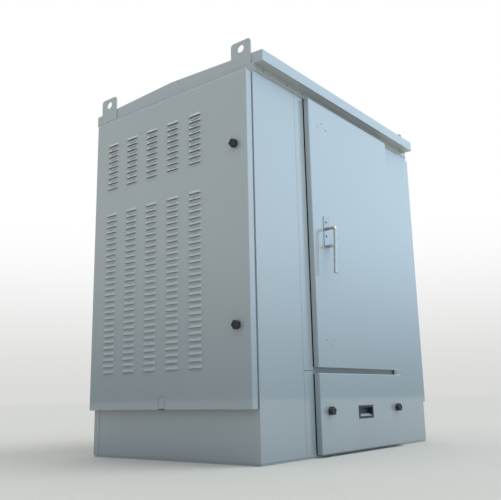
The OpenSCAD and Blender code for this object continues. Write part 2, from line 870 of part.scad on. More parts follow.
module battery_cover() {
    fit = 0.5;
    color(paint) difference() {
        front_pan(door_x0, door_x1, cover_z0, cover_z1);
        for (x = cover_knob_x) rod_y(x, y_door - 1, y_door + 9, z_cover_knob, stud_d + 2 * run_fit);
        block([x_cover_mid - pull_w / 2 + pull_rim - fit, y_door - 1, z_pull - pull_h / 2 + pull_rim - fit],
              [x_cover_mid + pull_w / 2 - pull_rim + fit, y_door + 9, z_pull + pull_h / 2 - pull_rim + fit]);
    }
}

module cover_gasket() {
    color(black) front_gasket(door_x0 + gasket_in, door_x1 - hinge_lap - gasket_in,
                              cover_z0 + gasket_in, cover_z1 - gasket_in);
}

// Shallow cup with a flange: the fingers pull on the ledge behind its upper edge
module flush_pull() {
    flange_t = 2;
    ledge = 4;
    w = pull_w - 2 * pull_rim;
    h = pull_h - 2 * pull_rim;
    color(black) translate([x_cover_mid, y_door, z_pull]) {
        difference() {
            union() {
                block([-pull_w / 2, -flange_t, -pull_h / 2], [pull_w / 2, 0, pull_h / 2]);
                block([-w / 2, 0, -h / 2], [w / 2, pull_deep, h / 2]);
            }
            block([-w / 2 + pull_wall, -flange_t - 1, -h / 2 + pull_wall],
                  [w / 2 - pull_wall, pull_deep - pull_wall, h / 2 - ledge]);
            block([-w / 2 + pull_wall, flange_t, -h / 2 + pull_wall],
                  [w / 2 - pull_wall, pull_deep - pull_wall, h / 2 - pull_wall]);
        }
    }
}

// Five-lobed knob with its stud; it stands along +Z from its seat at Z = 0
module lobed_knob(reach) {
    lobe_at = (knob_span - lobe_d) / 2;
    grip_z = knob_base_h - 1;
    color(black) {
        cylinder(d = knob_d, h = knob_base_h);
        translate([0, 0, grip_z]) linear_extrude(knob_h - grip_z) {
            circle(d = 2 * lobe_at);
            for (i = [0 : lobes - 1]) rotate(90 + i * 360 / lobes) translate([lobe_at, 0]) circle(d = lobe_d);
        }
        translate([0, 0, -reach]) cylinder(d = stud_d, h = reach);
    }
}

module cover_knob(i) {
    translate([cover_knob_x[i], y_door, z_cover_knob]) rotate([90, 0, 0])
        lobed_knob(y_rim + sheet + 4 - y_door);
}

module side_knob(side, i) {
    on_side(side) translate([-x_panel, y_knob, side_knob_z[i]]) rotate([0, -90, 0])
        lobed_knob(x_panel - x_side + stud_reach - 4);
}

// ---------- side doors ----------

// Side outline (Z up, X outwards) of one louvre's hood, shrunk by t
module hood(t) {
    front = louvre_out - t;
    top = louvre_h - 1.5 * t;
    polygon([[-1, t], [front, t], [front, hood_lip + t / 2], [0, top], [-1, top]]);
}

// Every louvre's place on the left-hand side door's skin, with outline X outwards and Y up
module at_louvres(w) {
    for (row = [0 : rows - 1]) if (row_used(row))
        for (column = [0 : columns - 1])
            translate([-x_panel, louvre_y(column) + w / 2, louvre_z(row)])
                rotate([90, 0, 0]) mirror([1, 0, 0]) linear_extrude(w) children();
}

// Folded louvred pan with hinge ears at the rear and an outlined cable notch at its foot
module side_door(side) {
    color(paint) on_side(side) {
        difference() {
            union() {
                difference() {
                    block([-x_panel, y_panel0, side_low], [-x_side - panel_gap, y_panel1, z_panel1]);
                    block([-x_panel + sheet, y_panel0 + sheet, side_low + sheet],
                          [-x_side, y_panel1 - sheet, z_panel1 - sheet]);
                    block([-x_side - hinge_return_gap, y_panel1 - 2 * post, side_low - 1],
                          [-x_side, y_panel1 + 1, z_panel1 + 1]);
                }
                at_louvres(louvre_w) hood(0);
            }
            at_louvres(louvre_w - 2 * louvre_skin) louvre_inside();
            for (z = side_knob_z) rod_x(-x_panel - 1, -x_panel + 9, y_knob, z, stud_d + 2 * run_fit);
            for (z = side_hinge_z)
                block([-x_side_pin - shelf_clear, y_panel1 - sheet - 1, z - shelf_clear / 2],
                      [-x_side, y_panel1 + 1, z + shelf_clear / 2]);
            notch_cut();
        }
        for (z = side_hinge_z) difference() {
            block([-x_panel + sheet / 2, y_side_pin - ear_front, z + ear_gap],
                  [-x_side_pin + ear_in, y_side_pin + ear_rear, z + ear_gap + ear_t]);
            translate([-x_side_pin, y_side_pin, z - 9]) cylinder(d = side_pin_d + 2 * run_fit, h = 20);
        }
    }
}

// Hollow under a hood, open at the bottom and through the skin
module louvre_inside() {
    back = -sheet - 1;
    front = louvre_out - louvre_skin;
    top = louvre_h - 2 * louvre_skin;
    polygon([[back, -1], [front, -1], [front, hood_lip - louvre_skin / 2], [0, top], [back, top]]);
}

// Arched outline (Y, Z) of the cable notch, standing on Z = 0
module arch(w, h) {
    translate([-w / 2, -1]) square([w, h - w / 2 + 1]);
    translate([0, h - w / 2]) circle(d = w);
}

// Thin arched groove cut almost through, with the open slot at its foot
module notch_cut() {
    mid = (y_panel0 + y_panel1) / 2 + notch_shift;
    depth = 0.8;
    slot = 5;
    translate([-x_panel - 1, mid, side_low]) rotate([90, 0, 90]) linear_extrude(1 + depth) difference() {
        arch(notch_w, notch_h);
        arch(notch_w - 2 * notch_line, notch_h - notch_line);
    }
    block([-x_panel - 1, mid - notch_w / 2 + notch_line + 1, side_low - 1],
          [-x_side + 1, mid + notch_w / 2 - notch_line - 1, side_low + slot]);
}

// ---------- assembly ----------

base_ring();
floor_plate();
gland_plate();
sill_rail();
mid_rail();
top_rail();
corner_post(-1, true);  // corner_post_front_left
corner_post(1, true);  // corner_post_front_right
corner_post(-1, false);  // corner_post_rear_left
corner_post(1, false);  // corner_post_rear_right
lock_strip_upper();
lock_strip_lower();
hinge_post();
front_panel_left();
front_panel_right();
header_strip();
rear_panel();
panel_screws();
side_wall(-1);  // side_wall_left
side_wall(1);  // side_wall_right
filter(-1);  // filter_left
filter(1);  // filter_right
partition(-1);  // partition_left
partition(1);  // partition_right
compartment_shelf();
rack_rail(-1);  // rack_rail_left
rack_rail(1);  // rack_rail_right
rack_crossbars();
earth_bar();
top_plate();
roof();
lug(-1, y_lug_front);  // lug_front_left
lug(1, y_lug_front);  // lug_front_right
lug(-1, y_lug_rear);  // lug_rear_left
lug(1, y_lug_rear);  // lug_rear_right
door_hinge_pins();
side_hinge_pins();
latch_receptacles();
main_door();
door_gasket();
door_hinge_wings();
handle_plate();
handle_bolts();
rod_guides();
guide_rivets();
handle_lever();
latch_cam();
upper_rod();
lower_rod();
battery_cover();
cover_gasket();
flush_pull();
cover_knob(0);  // cover_knob_left
cover_knob(1);  // cover_knob_right
side_door(-1);  // side_door_left
side_door(1);  // side_door_right
side_knob(-1, 0);  // knob_left_upper
side_knob(-1, 1);  // knob_left_lower
side_knob(1, 0);  // knob_right_upper
side_knob(1, 1);  // knob_right_lower
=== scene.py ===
"""Looks of a roadside utility cabinet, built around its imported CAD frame.

Each class is one sub-assembly of the cabinet: it holds its own sizes, shapes its pieces
with the usual mesh tools and dresses them in finishes. Every size is in metres.
"""

from __future__ import annotations

import json
import logging
import math
from collections.abc import Callable, Iterable, Sequence
from dataclasses import dataclass, field
from enum import Enum

import bpy
from mathutils import Matrix, Vector

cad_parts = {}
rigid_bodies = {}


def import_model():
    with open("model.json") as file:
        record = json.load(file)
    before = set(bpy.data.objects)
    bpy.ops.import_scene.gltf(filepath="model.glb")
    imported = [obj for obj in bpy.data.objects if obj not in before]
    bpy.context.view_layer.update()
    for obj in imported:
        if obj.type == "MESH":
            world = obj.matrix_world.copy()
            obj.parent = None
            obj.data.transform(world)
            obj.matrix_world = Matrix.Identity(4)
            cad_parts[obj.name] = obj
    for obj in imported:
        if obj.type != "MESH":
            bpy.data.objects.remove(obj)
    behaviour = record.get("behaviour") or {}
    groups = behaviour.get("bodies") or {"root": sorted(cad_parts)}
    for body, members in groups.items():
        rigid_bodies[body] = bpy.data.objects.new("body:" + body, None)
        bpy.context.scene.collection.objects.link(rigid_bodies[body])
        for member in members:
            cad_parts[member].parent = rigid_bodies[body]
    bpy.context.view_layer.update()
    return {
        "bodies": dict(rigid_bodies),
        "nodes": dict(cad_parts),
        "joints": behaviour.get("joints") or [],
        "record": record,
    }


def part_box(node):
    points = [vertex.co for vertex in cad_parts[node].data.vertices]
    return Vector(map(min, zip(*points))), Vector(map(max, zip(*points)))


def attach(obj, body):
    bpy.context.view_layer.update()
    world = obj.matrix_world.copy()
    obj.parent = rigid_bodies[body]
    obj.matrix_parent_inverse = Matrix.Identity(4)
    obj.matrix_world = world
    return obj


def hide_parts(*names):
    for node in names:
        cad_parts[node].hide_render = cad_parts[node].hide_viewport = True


log = logging.getLogger("cabinet")
Colour = tuple[float, float, float]
Triple = tuple[float, float, float]
Test = Callable[[Vector, Vector], bool]
NEAR = 1e-5  # two places closer together than this are one
OVER = 0.01  # how far a cutting tool runs past what it cuts
QUARTER = 90.0  # a quarter turn, in degrees
FLAT = math.radians(1.0)  # faces that meet at less than this are one flat face
MAINLY = 0.5  # a direction with more of its length than this on an axis runs mainly along it
NEARLY = 0.9  # the same, for a direction that runs nearly along it
UP = (0.0, 0.0, 1.0)
FINE, ROUND, SMALL, TINY = 40, 32, 24, 16  # sides of a cylinder, from the smoothest to the smallest


class Side(Enum):
    """Which side of the cabinet a piece is on, as the sign of its X."""

    LEFT = -1
    RIGHT = 1


class Slot(Enum):
    """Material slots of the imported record."""

    PAINTED = "painted"
    ZINC = "zinc"
    STAINLESS = "stainless"
    PLASTIC = "black_plastic"
    RUBBER = "gasket_rubber"
    FILTER = "filter_mat"
    COPPER = "earth_copper"


class Look(Enum):
    """The finishes that a piece can have, with a painted highlight for the pull's scoop and a painted shadow
    for screw recesses and rivet holes.
    """

    PAINT = "light_grey_powder_coat"
    STAINLESS = "brushed_stainless"
    POLISHED = "polished_stainless"
    ZINC = "zinc_coated_sheet"
    COPPER = "plain_copper"
    PLASTIC = "black_moulded_plastic"
    RUBBER = "cellular_rubber"
    FILTER = "filter_fibre_mat"
    SCOOP = "pale_scoop_plastic"
    RECESS = "drive_recess_shadow"


# ---------------------------------------------------------------- shader maths


class Sock:
    """An output socket whose Python operators add Math nodes."""

    def __init__(self, maker: NodeMaker, socket: bpy.types.NodeSocket) -> None:
        """Keeps the socket and the maker that adds nodes to its tree."""
        self.maker = maker
        self.socket = socket

    def _math(self, operation: str, *values: Sock | float) -> Sock:
        """Adds one Math node on the values."""
        return self.maker.node("ShaderNodeMath", {"operation": operation}, dict(enumerate(values)))

    def __add__(self, other: Sock | float) -> Sock:
        """Sum."""
        return self._math("ADD", self, other)

    def __sub__(self, other: Sock | float) -> Sock:
        """Difference."""
        return self._math("SUBTRACT", self, other)

    def __rsub__(self, other: float) -> Sock:
        """Difference from a number."""
        return self._math("SUBTRACT", other, self)

    def __mul__(self, other: Sock | float) -> Sock:
        """Product."""
        return self._math("MULTIPLY", self, other)

    def __truediv__(self, other: Sock | float) -> Sock:
        """Quotient."""
        return self._math("DIVIDE", self, other)

    def __pow__(self, power: float) -> Sock:
        """Power."""
        return self._math("POWER", self, power)

    __radd__ = __add__
    __rmul__ = __mul__

    def clamped(self) -> Sock:
        """The value held between 0 and 1."""
        return self._math("MINIMUM", self._math("MAXIMUM", self, 0.0), 1.0)


class NodeMaker:
    """Adds nodes to one tree."""

    def __init__(self, tree: bpy.types.NodeTree) -> None:
        """Empties the tree and keeps it."""
        tree.nodes.clear()
        self.tree = tree

    def node(self, kind: str, settings: dict, inputs: dict, output: int | str = 0) -> Sock:
        """Adds one node.

        Args:
            kind: The node's type name.
            settings: Its properties, set first.
            inputs: Socket name or number to a value or a Sock.
            output: Name or number of the output wanted.

        Returns:
            That output, wrapped.
        """
        made = self.tree.nodes.new(kind)
        for name, value in settings.items():
            setattr(made, name, value)
        for name, value in inputs.items():
            if isinstance(value, Sock):
                self.tree.links.new(value.socket, made.inputs[name])
            else:
                made.inputs[name].default_value = value
        return Sock(self, made.outputs[output])

    def place(self) -> Sock:
        """Object coordinates."""
        return self.node("ShaderNodeTexCoord", {}, {}, "Object")

    def stretched(self, place: Sock, scale: Triple) -> Sock:
        """The place, multiplied along each axis."""
        return self.node("ShaderNodeVectorMath", {"operation": "MULTIPLY"}, {0: place, 1: scale})

    def part(self, place: Sock, axis: str) -> Sock:
        """One of a vector's numbers."""
        return self.node("ShaderNodeSeparateXYZ", {}, {0: place}, axis)

    def noise(self, place: Sock, scale: float, detail: float = 2.0, rough: float = 0.5) -> Sock:
        """Noise from 0 to 1, with about 0.5 in the middle."""
        inputs = {"Vector": place, "Scale": scale, "Detail": detail, "Roughness": rough}
        return self.node("ShaderNodeTexNoise", {}, inputs)

    def mix(self, share: Sock | float, first: Sock | Colour, second: Sock | Colour) -> Sock:
        """Colour between first and second."""
        ends = [c if isinstance(c, Sock) else (*c, 1.0) for c in (first, second)]
        return self.node("ShaderNodeMix", {"data_type": "RGBA"}, {0: share, 6: ends[0], 7: ends[1]}, 2)

    def bump(self, height: Sock, distance: float, strength: float = 1.0) -> Sock:
        """Normal from a height."""
        return self.node("ShaderNodeBump", {}, {"Height": height, "Distance": distance, "Strength": strength})

    def towards(self, way: Sock, axis: Triple, start: float, end: float) -> Sock:
        """Measures how near a direction is to an axis.

        Args:
            way: The direction.
            axis: The axis, of any length.
            start: Cosine of their angle where the share starts to rise from 0.
            end: Cosine of their angle where it reaches 1.

        Returns:
            The share from 0 to 1, rising smoothly.
        """
        unit = tuple(Vector(axis).normalized())
        dot = self.node("ShaderNodeVectorMath", {"operation": "DOT_PRODUCT"}, {0: way, 1: unit}, "Value")
        inputs = {"Value": dot, "From Min": start, "From Max": end}
        return self.node("ShaderNodeMapRange", {"interpolation_type": "SMOOTHSTEP"}, inputs)

    def finish(self, shader: str, output: str, inputs: dict) -> None:
        """Ends the tree in one shader.

        Args:
            shader: The shader node's type name.
            output: The output node's type name.
            inputs: The shader's sockets, as for node.
        """
        made = self.node(shader, {}, inputs)
        end = self.tree.nodes.new(output)
        self.tree.links.new(made.socket, end.inputs["Surface"])

    def surface(self, inputs: dict) -> None:
        """Ends a material in one Principled shader with these inputs."""
        self.finish("ShaderNodeBsdfPrincipled", "ShaderNodeOutputMaterial", inputs)


# ---------------------------------------------------------------- finishes


@dataclass(frozen=True)
class Finish:
    """A surface finish; each kind fills in its own nodes."""

    slot: Slot

    def fill(self, maker: NodeMaker) -> None:
        """Adds the finish's nodes; each kind has its own."""
        raise NotImplementedError

    def material(self, name: str) -> bpy.types.Material:
        """Makes the material.

        Args:
            name: The material's name.

        Returns:
            The material, with this finish's nodes.
        """
        made = bpy.data.materials.new(name)
        made.use_nodes = True
        self.fill(NodeMaker(made.node_tree))
        return made


def shaded(colour: Colour, share: float) -> Colour:
    """A colour darkened to a share of itself."""
    return tuple(c * share for c in colour)


@dataclass(frozen=True)
class PowderCoat(Finish):
    """Satin powder coat on sheet: faint orange peel, slight waviness, road dust at the very foot, and painted
    shade darkening the lower part.
    """

    colour: Colour = (0.435, 0.46, 0.45)
    speck: Colour = (0.75, 0.77, 0.76)
    dust: Colour = (0.30, 0.28, 0.24)
    # Painted shade: cool dark grey that the coat turns towards near the floor, standing in for the dimmer
    # light on the lower part.
    painted_foot_shade: Colour = (0.19, 0.225, 0.245)
    roughness: float = 0.32
    cloud_scale: float = 1.7
    speckle_scale: float = 240.0
    peel_scale: float = 420.0
    wave_stretch: Triple = (2.2, 2.2, 1.1)
    smudge_stretch: Triple = (9.0, 9.0, 2.0)
    peel_height: float = 0.012
    wave_height: float = 0.9
    relief: float = 0.0016
    dusty_below: float = 0.12
    dust_most: float = 0.25
    # Painted shade: how high it reaches, and how much of it there is at the floor.
    painted_shade_below: float = 1.25
    painted_shade_most: float = 0.76

    def fill(self, maker: NodeMaker) -> None:
        """Adds the coat's nodes.

        Args:
            maker: Adds nodes to the material's tree.
        """
        place = maker.place()
        height = maker.part(place, "Z")
        cloud = maker.noise(place, self.cloud_scale, 3.0)
        speckle = maker.noise(place, self.speckle_scale)
        peel = maker.noise(place, self.peel_scale, 1.0)
        wave = maker.noise(maker.stretched(place, self.wave_stretch), 2.0, 1.0)
        smudge = maker.noise(maker.stretched(place, self.smudge_stretch), 2.4, 5.0, 0.62)
        foot = (1.0 - height / self.dusty_below).clamped()
        grime = (foot ** 1.6 * (smudge * 1.7 - 0.35)).clamped() * self.dust_most
        # Painted shade: darker towards the bottom, up to the height above, with a little random variation.
        painted_foot_shade = (1.0 - height / self.painted_shade_below).clamped() ** 2.0 * self.painted_shade_most * (cloud * 0.5 + 0.75)
        paint = maker.mix((cloud * 1.6 - 0.3).clamped(), shaded(self.colour, 0.94), self.colour)
        paint = maker.mix((speckle * 3.0 - 1.45).clamped() * 0.10, paint, self.speck)
        colour = maker.mix(grime, maker.mix(painted_foot_shade, paint, self.painted_foot_shade), self.dust)
        rough = self.roughness + (cloud - 0.5) * 0.10 + (speckle - 0.5) * 0.08 + grime * 0.6
        bump = maker.bump(peel * self.peel_height + wave * self.wave_height, self.relief)
        maker.surface({
            "Base Color": colour, "Roughness": rough.clamped(), "Normal": bump,
            "Coat Weight": 1.0, "Coat Roughness": 0.05, "Coat IOR": 1.7, "Metallic": 0.0,
        })


@dataclass(frozen=True)
class BrushedMetal(Finish):
    """Bare metal with fine scratches along one axis."""

    colour: Colour = (0.60, 0.57, 0.53)
    scratch: Colour = (0.82, 0.80, 0.77)
    grain: Triple = (900.0, 900.0, 14.0)
    stain_scale: float = 22.0
    roughness: float = 0.26
    relief: float = 0.00008

    def fill(self, maker: NodeMaker) -> None:
        """Adds the metal's nodes.

        Args:
            maker: Adds nodes to the material's tree.
        """
        place = maker.place()
        lines = maker.noise(maker.stretched(place, self.grain), 1.0, 4.0, 0.6)
        stain = maker.noise(place, self.stain_scale, 4.0, 0.6)
        colour = maker.mix((stain * 1.4 - 0.2).clamped(), shaded(self.colour, 0.78), self.colour)
        colour = maker.mix((lines * 2.0 - 0.9).clamped() * 0.35, colour, self.scratch)
        rough = self.roughness + (lines - 0.5) * 0.22 + (stain - 0.5) * 0.10
        maker.surface({
            "Base Color": colour, "Metallic": 1.0, "Roughness": rough.clamped(),
            "Normal": maker.bump(lines, self.relief, 0.8),
        })


@dataclass(frozen=True)
class Galvanised(Finish):
    """Zinc-coated sheet with its spangle."""

    colour: Colour = (0.56, 0.58, 0.60)
    spangle_scale: float = 55.0
    bloom_scale: float = 6.0
    grit_scale: float = 300.0
    relief: float = 0.0002

    def fill(self, maker: NodeMaker) -> None:
        """Adds the zinc's nodes.

        Args:
            maker: Adds nodes to the material's tree.
        """
        place = maker.place()
        inputs = {"Vector": place, "Scale": self.spangle_scale}
        cells = maker.node("ShaderNodeTexVoronoi", {}, inputs, "Color")
        spangle = maker.part(cells, "X")
        bloom = maker.noise(place, self.bloom_scale, 4.0)
        share = (spangle * 0.8 + (bloom - 0.5) * 0.6).clamped()
        grit = maker.noise(place, self.grit_scale)
        maker.surface({
            "Base Color": maker.mix(share, shaded(self.colour, 0.72), self.colour), "Metallic": 0.92,
            "Roughness": (0.34 + spangle * 0.16 + bloom * 0.1).clamped(),
            "Normal": maker.bump(spangle * 0.2 + grit * 0.1, self.relief, 0.6),
        })


@dataclass(frozen=True)
class Moulded(Finish):
    """Moulded plastic or rubber with a fine grain."""

    colour: Colour = (0.018, 0.018, 0.020)
    worn: Colour = (0.05, 0.05, 0.052)
    roughness: float = 0.38
    grain: float = 900.0
    rub_scale: float = 30.0
    relief: float = 0.00015

    def fill(self, maker: NodeMaker) -> None:
        """Adds the plastic's nodes.

        Args:
            maker: Adds nodes to the material's tree.
        """
        place = maker.place()
        grain = maker.noise(place, self.grain)
        rub = maker.noise(place, self.rub_scale, 4.0, 0.65)
        colour = maker.mix((rub * 2.0 - 0.8).clamped() * 0.5, self.colour, self.worn)
        rough = self.roughness + (rub - 0.5) * 0.18 + (grain - 0.5) * 0.12
        maker.surface({
            "Base Color": colour, "Roughness": rough.clamped(),
            "Normal": maker.bump(grain, self.relief, 0.7),
        })


@dataclass(frozen=True)
class FibreMat(Finish):
    """Open fibre mat of a filter."""

    colour: Colour = (0.05, 0.055, 0.06)
    gap: Colour = (0.015, 0.017, 0.02)
    strand_scale: float = 260.0
    strand_stretch: Triple = (1.0, 1.0, 2.6)
    tuft_scale: float = 60.0
    relief: float = 0.002

    def fill(self, maker: NodeMaker) -> None:
        """Adds the mat's nodes.

        Args:
            maker: Adds nodes to the material's tree.
        """
        place = maker.place()
        strands = maker.noise(maker.stretched(place, self.strand_stretch), self.strand_scale, 4.0, 0.7)
        tufts = maker.noise(place, self.tuft_scale, 3.0)
        maker.surface({
            "Base Color": maker.mix((strands * 2.2 - 0.6).clamped(), self.gap, self.colour),
            "Roughness": (0.8 + tufts * 0.2).clamped(),
            "Normal": maker.bump(strands * 0.7 + tufts * 0.5, self.relief, 0.8),
        })


@dataclass(frozen=True)
class StudioFloor(Finish):
    """Plain pale floor."""

    colour: Colour = (0.54, 0.51, 0.455)

    def fill(self, maker: NodeMaker) -> None:
        """Adds the floor's nodes.

        Args:
            maker: Adds nodes to the material's tree.
        """
        shade = maker.noise(maker.place(), 0.8)
        colour = maker.mix(shade, self.colour, shaded(self.colour, 0.985))
        maker.surface({"Base Color": colour, "Roughness": 0.9})


class Finishes:
    """Every finish, made once."""

    kinds: dict[Look, Finish] = {
        Look.PAINT: PowderCoat(Slot.PAINTED),
        Look.STAINLESS: BrushedMetal(Slot.STAINLESS),
        Look.POLISHED: BrushedMetal(
            Slot.STAINLESS, colour=(0.47, 0.47, 0.47), grain=(500.0, 500.0, 8.0), roughness=0.16),
        Look.ZINC: Galvanised(Slot.ZINC),
        Look.COPPER: BrushedMetal(
            Slot.COPPER, colour=(0.72, 0.40, 0.25), grain=(14.0, 900.0, 900.0), roughness=0.30),
        Look.PLASTIC: Moulded(Slot.PLASTIC),
        Look.RUBBER: Moulded(
            Slot.RUBBER, colour=(0.02, 0.02, 0.021), worn=(0.035, 0.035, 0.036), roughness=0.82,
            grain=420.0, relief=0.0005),
        Look.FILTER: FibreMat(Slot.FILTER),
        # Painted highlight: a pale copy of the black plastic for the pull's upward faces, standing in for
        # light falling on them.
        Look.SCOOP: Moulded(
            Slot.PLASTIC, colour=(0.42, 0.44, 0.45), worn=(0.52, 0.54, 0.55), roughness=0.30),
        # Painted shadow: near-black for the insides of drive recesses and rivet holes.
        Look.RECESS: Moulded(
            Slot.ZINC, colour=(0.03, 0.03, 0.03), worn=(0.06, 0.05, 0.05), roughness=0.6),
    }

    def __init__(self) -> None:
        """Makes the materials, and notes the first finish of each slot as that slot's own."""
        self.made = {look: kind.material(look.value) for look, kind in self.kinds.items()}
        self.by_slot: dict[Slot, Look] = {}
        for look, kind in self.kinds.items():
            self.by_slot.setdefault(kind.slot, look)

    def of(self, look: Look) -> bpy.types.Material:
        """One finish's material."""
        return self.made[look]

    def dress_frame(self, frame: dict) -> None:
        """Gives every CAD node the finish of its material slot.

        Args:
            frame: The loaded frame.
        """
        slots = {row["node"]: Slot(row["material_slot"]) for row in frame["record"]["subparts"]}
        for name, node in frame["nodes"].items():
            for place in node.material_slots:
                place.material = self.of(self.by_slot[slots[name]])


# ---------------------------------------------------------------- mesh tools


class Work:
    """One mesh object being shaped with the hand tools."""

    def __init__(self, obj: bpy.types.Object) -> None:
        """Keeps the object."""
        self.obj = obj

    @staticmethod
    def clear() -> None:
        """Leaves edit mode and selects nothing."""
        if bpy.context.object and bpy.context.object.mode != "OBJECT":
            bpy.ops.object.mode_set(mode="OBJECT")
        for obj in bpy.context.selected_objects:
            obj.select_set(False)

    def _only(self) -> None:
        """Makes this the only selected object, and the active one."""
        Work.clear()
        self.obj.select_set(True)
        bpy.context.view_layer.objects.active = self.obj

    @classmethod
    def slab(cls, name: str, low: Sequence[float], high: Sequence[float]) -> Work:
        """Starts a piece as a box.

        Args:
            name: The new object's name.
            low: The box's lowest corner.
            high: Its highest corner.

        Returns:
            The box.
        """
        cls.clear()
        low, high = Vector(low), Vector(high)
        bpy.ops.mesh.primitive_cube_add(size=1.0, location=(low + high) / 2)
        return cls._named(name, tuple(high - low))

    @classmethod
    def rod(cls, name: str, start: Sequence[float], end: Sequence[float], radius: float,
            sides: int = ROUND) -> Work:
        """Starts a piece as a cylinder.

        Args:
            name: The new object's name.
            start: Middle of one end.
            end: Middle of the other end.
            radius: The cylinder's radius.
            sides: How many flat sides stand for its round.

        Returns:
            The cylinder.
        """
        cls.clear()
        start, end = Vector(start), Vector(end)
        along = end - start
        turn = along.to_track_quat("Z", "Y").to_euler()
        bpy.ops.mesh.primitive_cylinder_add(
            vertices=sides, radius=radius, depth=along.length, location=(start + end) / 2, rotation=turn)
        return cls._named(name)

    @classmethod
    def disc(cls, name: str, at: Sequence[float], radius: float, sides: int) -> Work:
        """Starts a piece as one round face across Y.

        Args:
            name: The new object's name.
            at: The face's middle.
            radius: Its radius.
            sides: How many edges stand for its round.

        Returns:
            The face.
        """
        cls.clear()
        bpy.ops.mesh.primitive_circle_add(
            vertices=sides, radius=radius, fill_type="NGON", location=at, rotation=(math.pi / 2, 0.0, 0.0))
        return cls._named(name)

    @classmethod
    def _named(cls, name: str, scale: Sequence[float] = (1.0, 1.0, 1.0)) -> Work:
        """Names the new primitive and works its place into its mesh.

        Args:
            name: The object's name.
            scale: How much it is stretched along each axis first.

        Returns:
            The piece.
        """
        obj = bpy.context.object
        obj.name = name
        obj.data.name = name
        obj.scale = scale
        bpy.ops.object.transform_apply(location=True, rotation=True, scale=True)
        return cls(obj)

    @classmethod
    def of_node(cls, name: str, node: bpy.types.Object) -> Work:
        """Starts a piece as a merged copy of a CAD node, with its flat faces whole again.

        Args:
            name: The new object's name.
            node: The CAD node's object.

        Returns:
            The copy.
        """
        cls.clear()
        obj = bpy.data.objects.new(name, node.data.copy())
        bpy.context.scene.collection.objects.link(obj)
        return cls(obj).pick_all().merge_picked().unify_picked()

    def _pick(self, mode: tuple[bool, bool, bool], items: Iterable, chosen: Iterable[int]) -> Work:
        """Enters edit mode with just the chosen faces or edges selected.

        Args:
            mode: Whether vertices, edges and faces are what is selected.
            items: The mesh's faces or edges.
            chosen: Numbers of those to select.

        Returns:
            This piece.
        """
        self._only()
        mesh = self.obj.data
        for kind in (mesh.polygons, mesh.edges, mesh.vertices):
            kind.foreach_set("select", [False] * len(kind))
        for index in chosen:
            items[index].select = True
        bpy.context.tool_settings.mesh_select_mode = mode
        bpy.ops.object.mode_set(mode="EDIT")
        return self

    def pick_faces(self, test: Test) -> Work:
        """Selects the faces whose centre and normal pass the test."""
        faces = self.obj.data.polygons
        return self._pick((False, False, True), faces, [f.index for f in faces if test(f.center, f.normal)])

    def pick_all(self) -> Work:
        """Selects every face."""
        return self.pick_faces(lambda at, way: True)

    def pick_edges(self, test: Test) -> Work:
        """Selects some of the edges.

        Args:
            test: Says of an edge's middle and direction whether it is selected.

        Returns:
            This piece.
        """
        mesh = self.obj.data
        chosen = []
        for edge in mesh.edges:
            a, b = (mesh.vertices[i].co for i in edge.vertices)
            if test((a + b) / 2, (b - a).normalized()):
                chosen.append(edge.index)
        return self._pick((False, True, False), mesh.edges, chosen)

    def done(self) -> Work:
        """Leaves edit mode."""
        bpy.ops.object.mode_set(mode="OBJECT")
        return self

    def drop_faces(self) -> Work:
        """Deletes the selected faces."""
        bpy.ops.mesh.delete(type="FACE")
        return self.done()

    def merge_picked(self) -> Work:
        """Merges the selected vertices that lie in one place."""
        bpy.ops.mesh.remove_doubles(threshold=NEAR)
        return self

    def unify_picked(self) -> Work:
        """Dissolves the selected edges that cross a flat face."""
        bpy.ops.mesh.dissolve_limited(angle_limit=FLAT)
        return self.done()

    def turn_out_picked(self) -> Work:
        """Makes the selected faces point outwards."""
        bpy.ops.mesh.normals_make_consistent(inside=False)
        return self.done()

    def bevel_picked(self, width: float, segments: int) -> Work:
        """Rounds the selected edges."""
        bpy.ops.mesh.bevel(offset=width, segments=segments, affect="EDGES", profile=0.5)
        return self.done()

    def inset_picked(self, width: float) -> Work:
        """Insets the selected faces, and keeps the inner ones selected."""
        bpy.ops.mesh.inset(thickness=width)
        return self

    def push_picked(self, offset: Sequence[float]) -> Work:
        """Extrudes the selected faces or edges by an offset, and keeps them selected."""
        bpy.ops.mesh.extrude_region_move(TRANSFORM_OT_translate={"value": tuple(offset)})
        return self

    def move_picked(self, offset: Sequence[float]) -> Work:
        """Moves the selection, and leaves edit mode."""
        bpy.ops.transform.translate(value=tuple(offset))
        return self.done()

    def scale_picked(self, factors: Sequence[float], about: Sequence[float]) -> Work:
        """Scales the selection about a point, and leaves edit mode."""
        bpy.ops.transform.resize(value=tuple(factors), center_override=tuple(about))
        return self.done()

    def fold_in_picked(self, factors: Sequence[float], about: Sequence[float]) -> Work:
        """Draws a lip in from the selected rim, to factors of its size about a point."""
        return self.push_picked((0.0, 0.0, 0.0)).scale_picked(factors, about)

    def _modify(self, kind: str, **settings: object) -> Work:
        """Adds one modifier and applies it.

        Args:
            kind: The modifier's type.
            **settings: Its properties.

        Returns:
            This piece.
        """
        self._only()
        made = self.obj.modifiers.new("step", kind)
        for name, value in settings.items():
            setattr(made, name, value)
        bpy.ops.object.modifier_apply(modifier=made.name)
        return self

    def thicken(self, sheet: float) -> Work:
        """Gives an outer skin its thickness, inwards."""
        return self._modify("SOLIDIFY", thickness=sheet, offset=-1.0, use_even_offset=True)

    def ease(self, width: float, segments: int = 2, angle: float = 40.0) -> Work:
        """Rounds every edge sharper than an angle in degrees."""
        return self._modify("BEVEL", width=width, segments=segments, limit_method="ANGLE",
                            angle_limit=math.radians(angle), harden_normals=False)

    def repeat(self, count: int, step: Sequence[float]) -> Work:
        """Repeats the mesh at a constant step."""
        return self._modify("ARRAY", count=count, use_relative_offset=False, use_constant_offset=True,
                            constant_offset_displace=tuple(step))

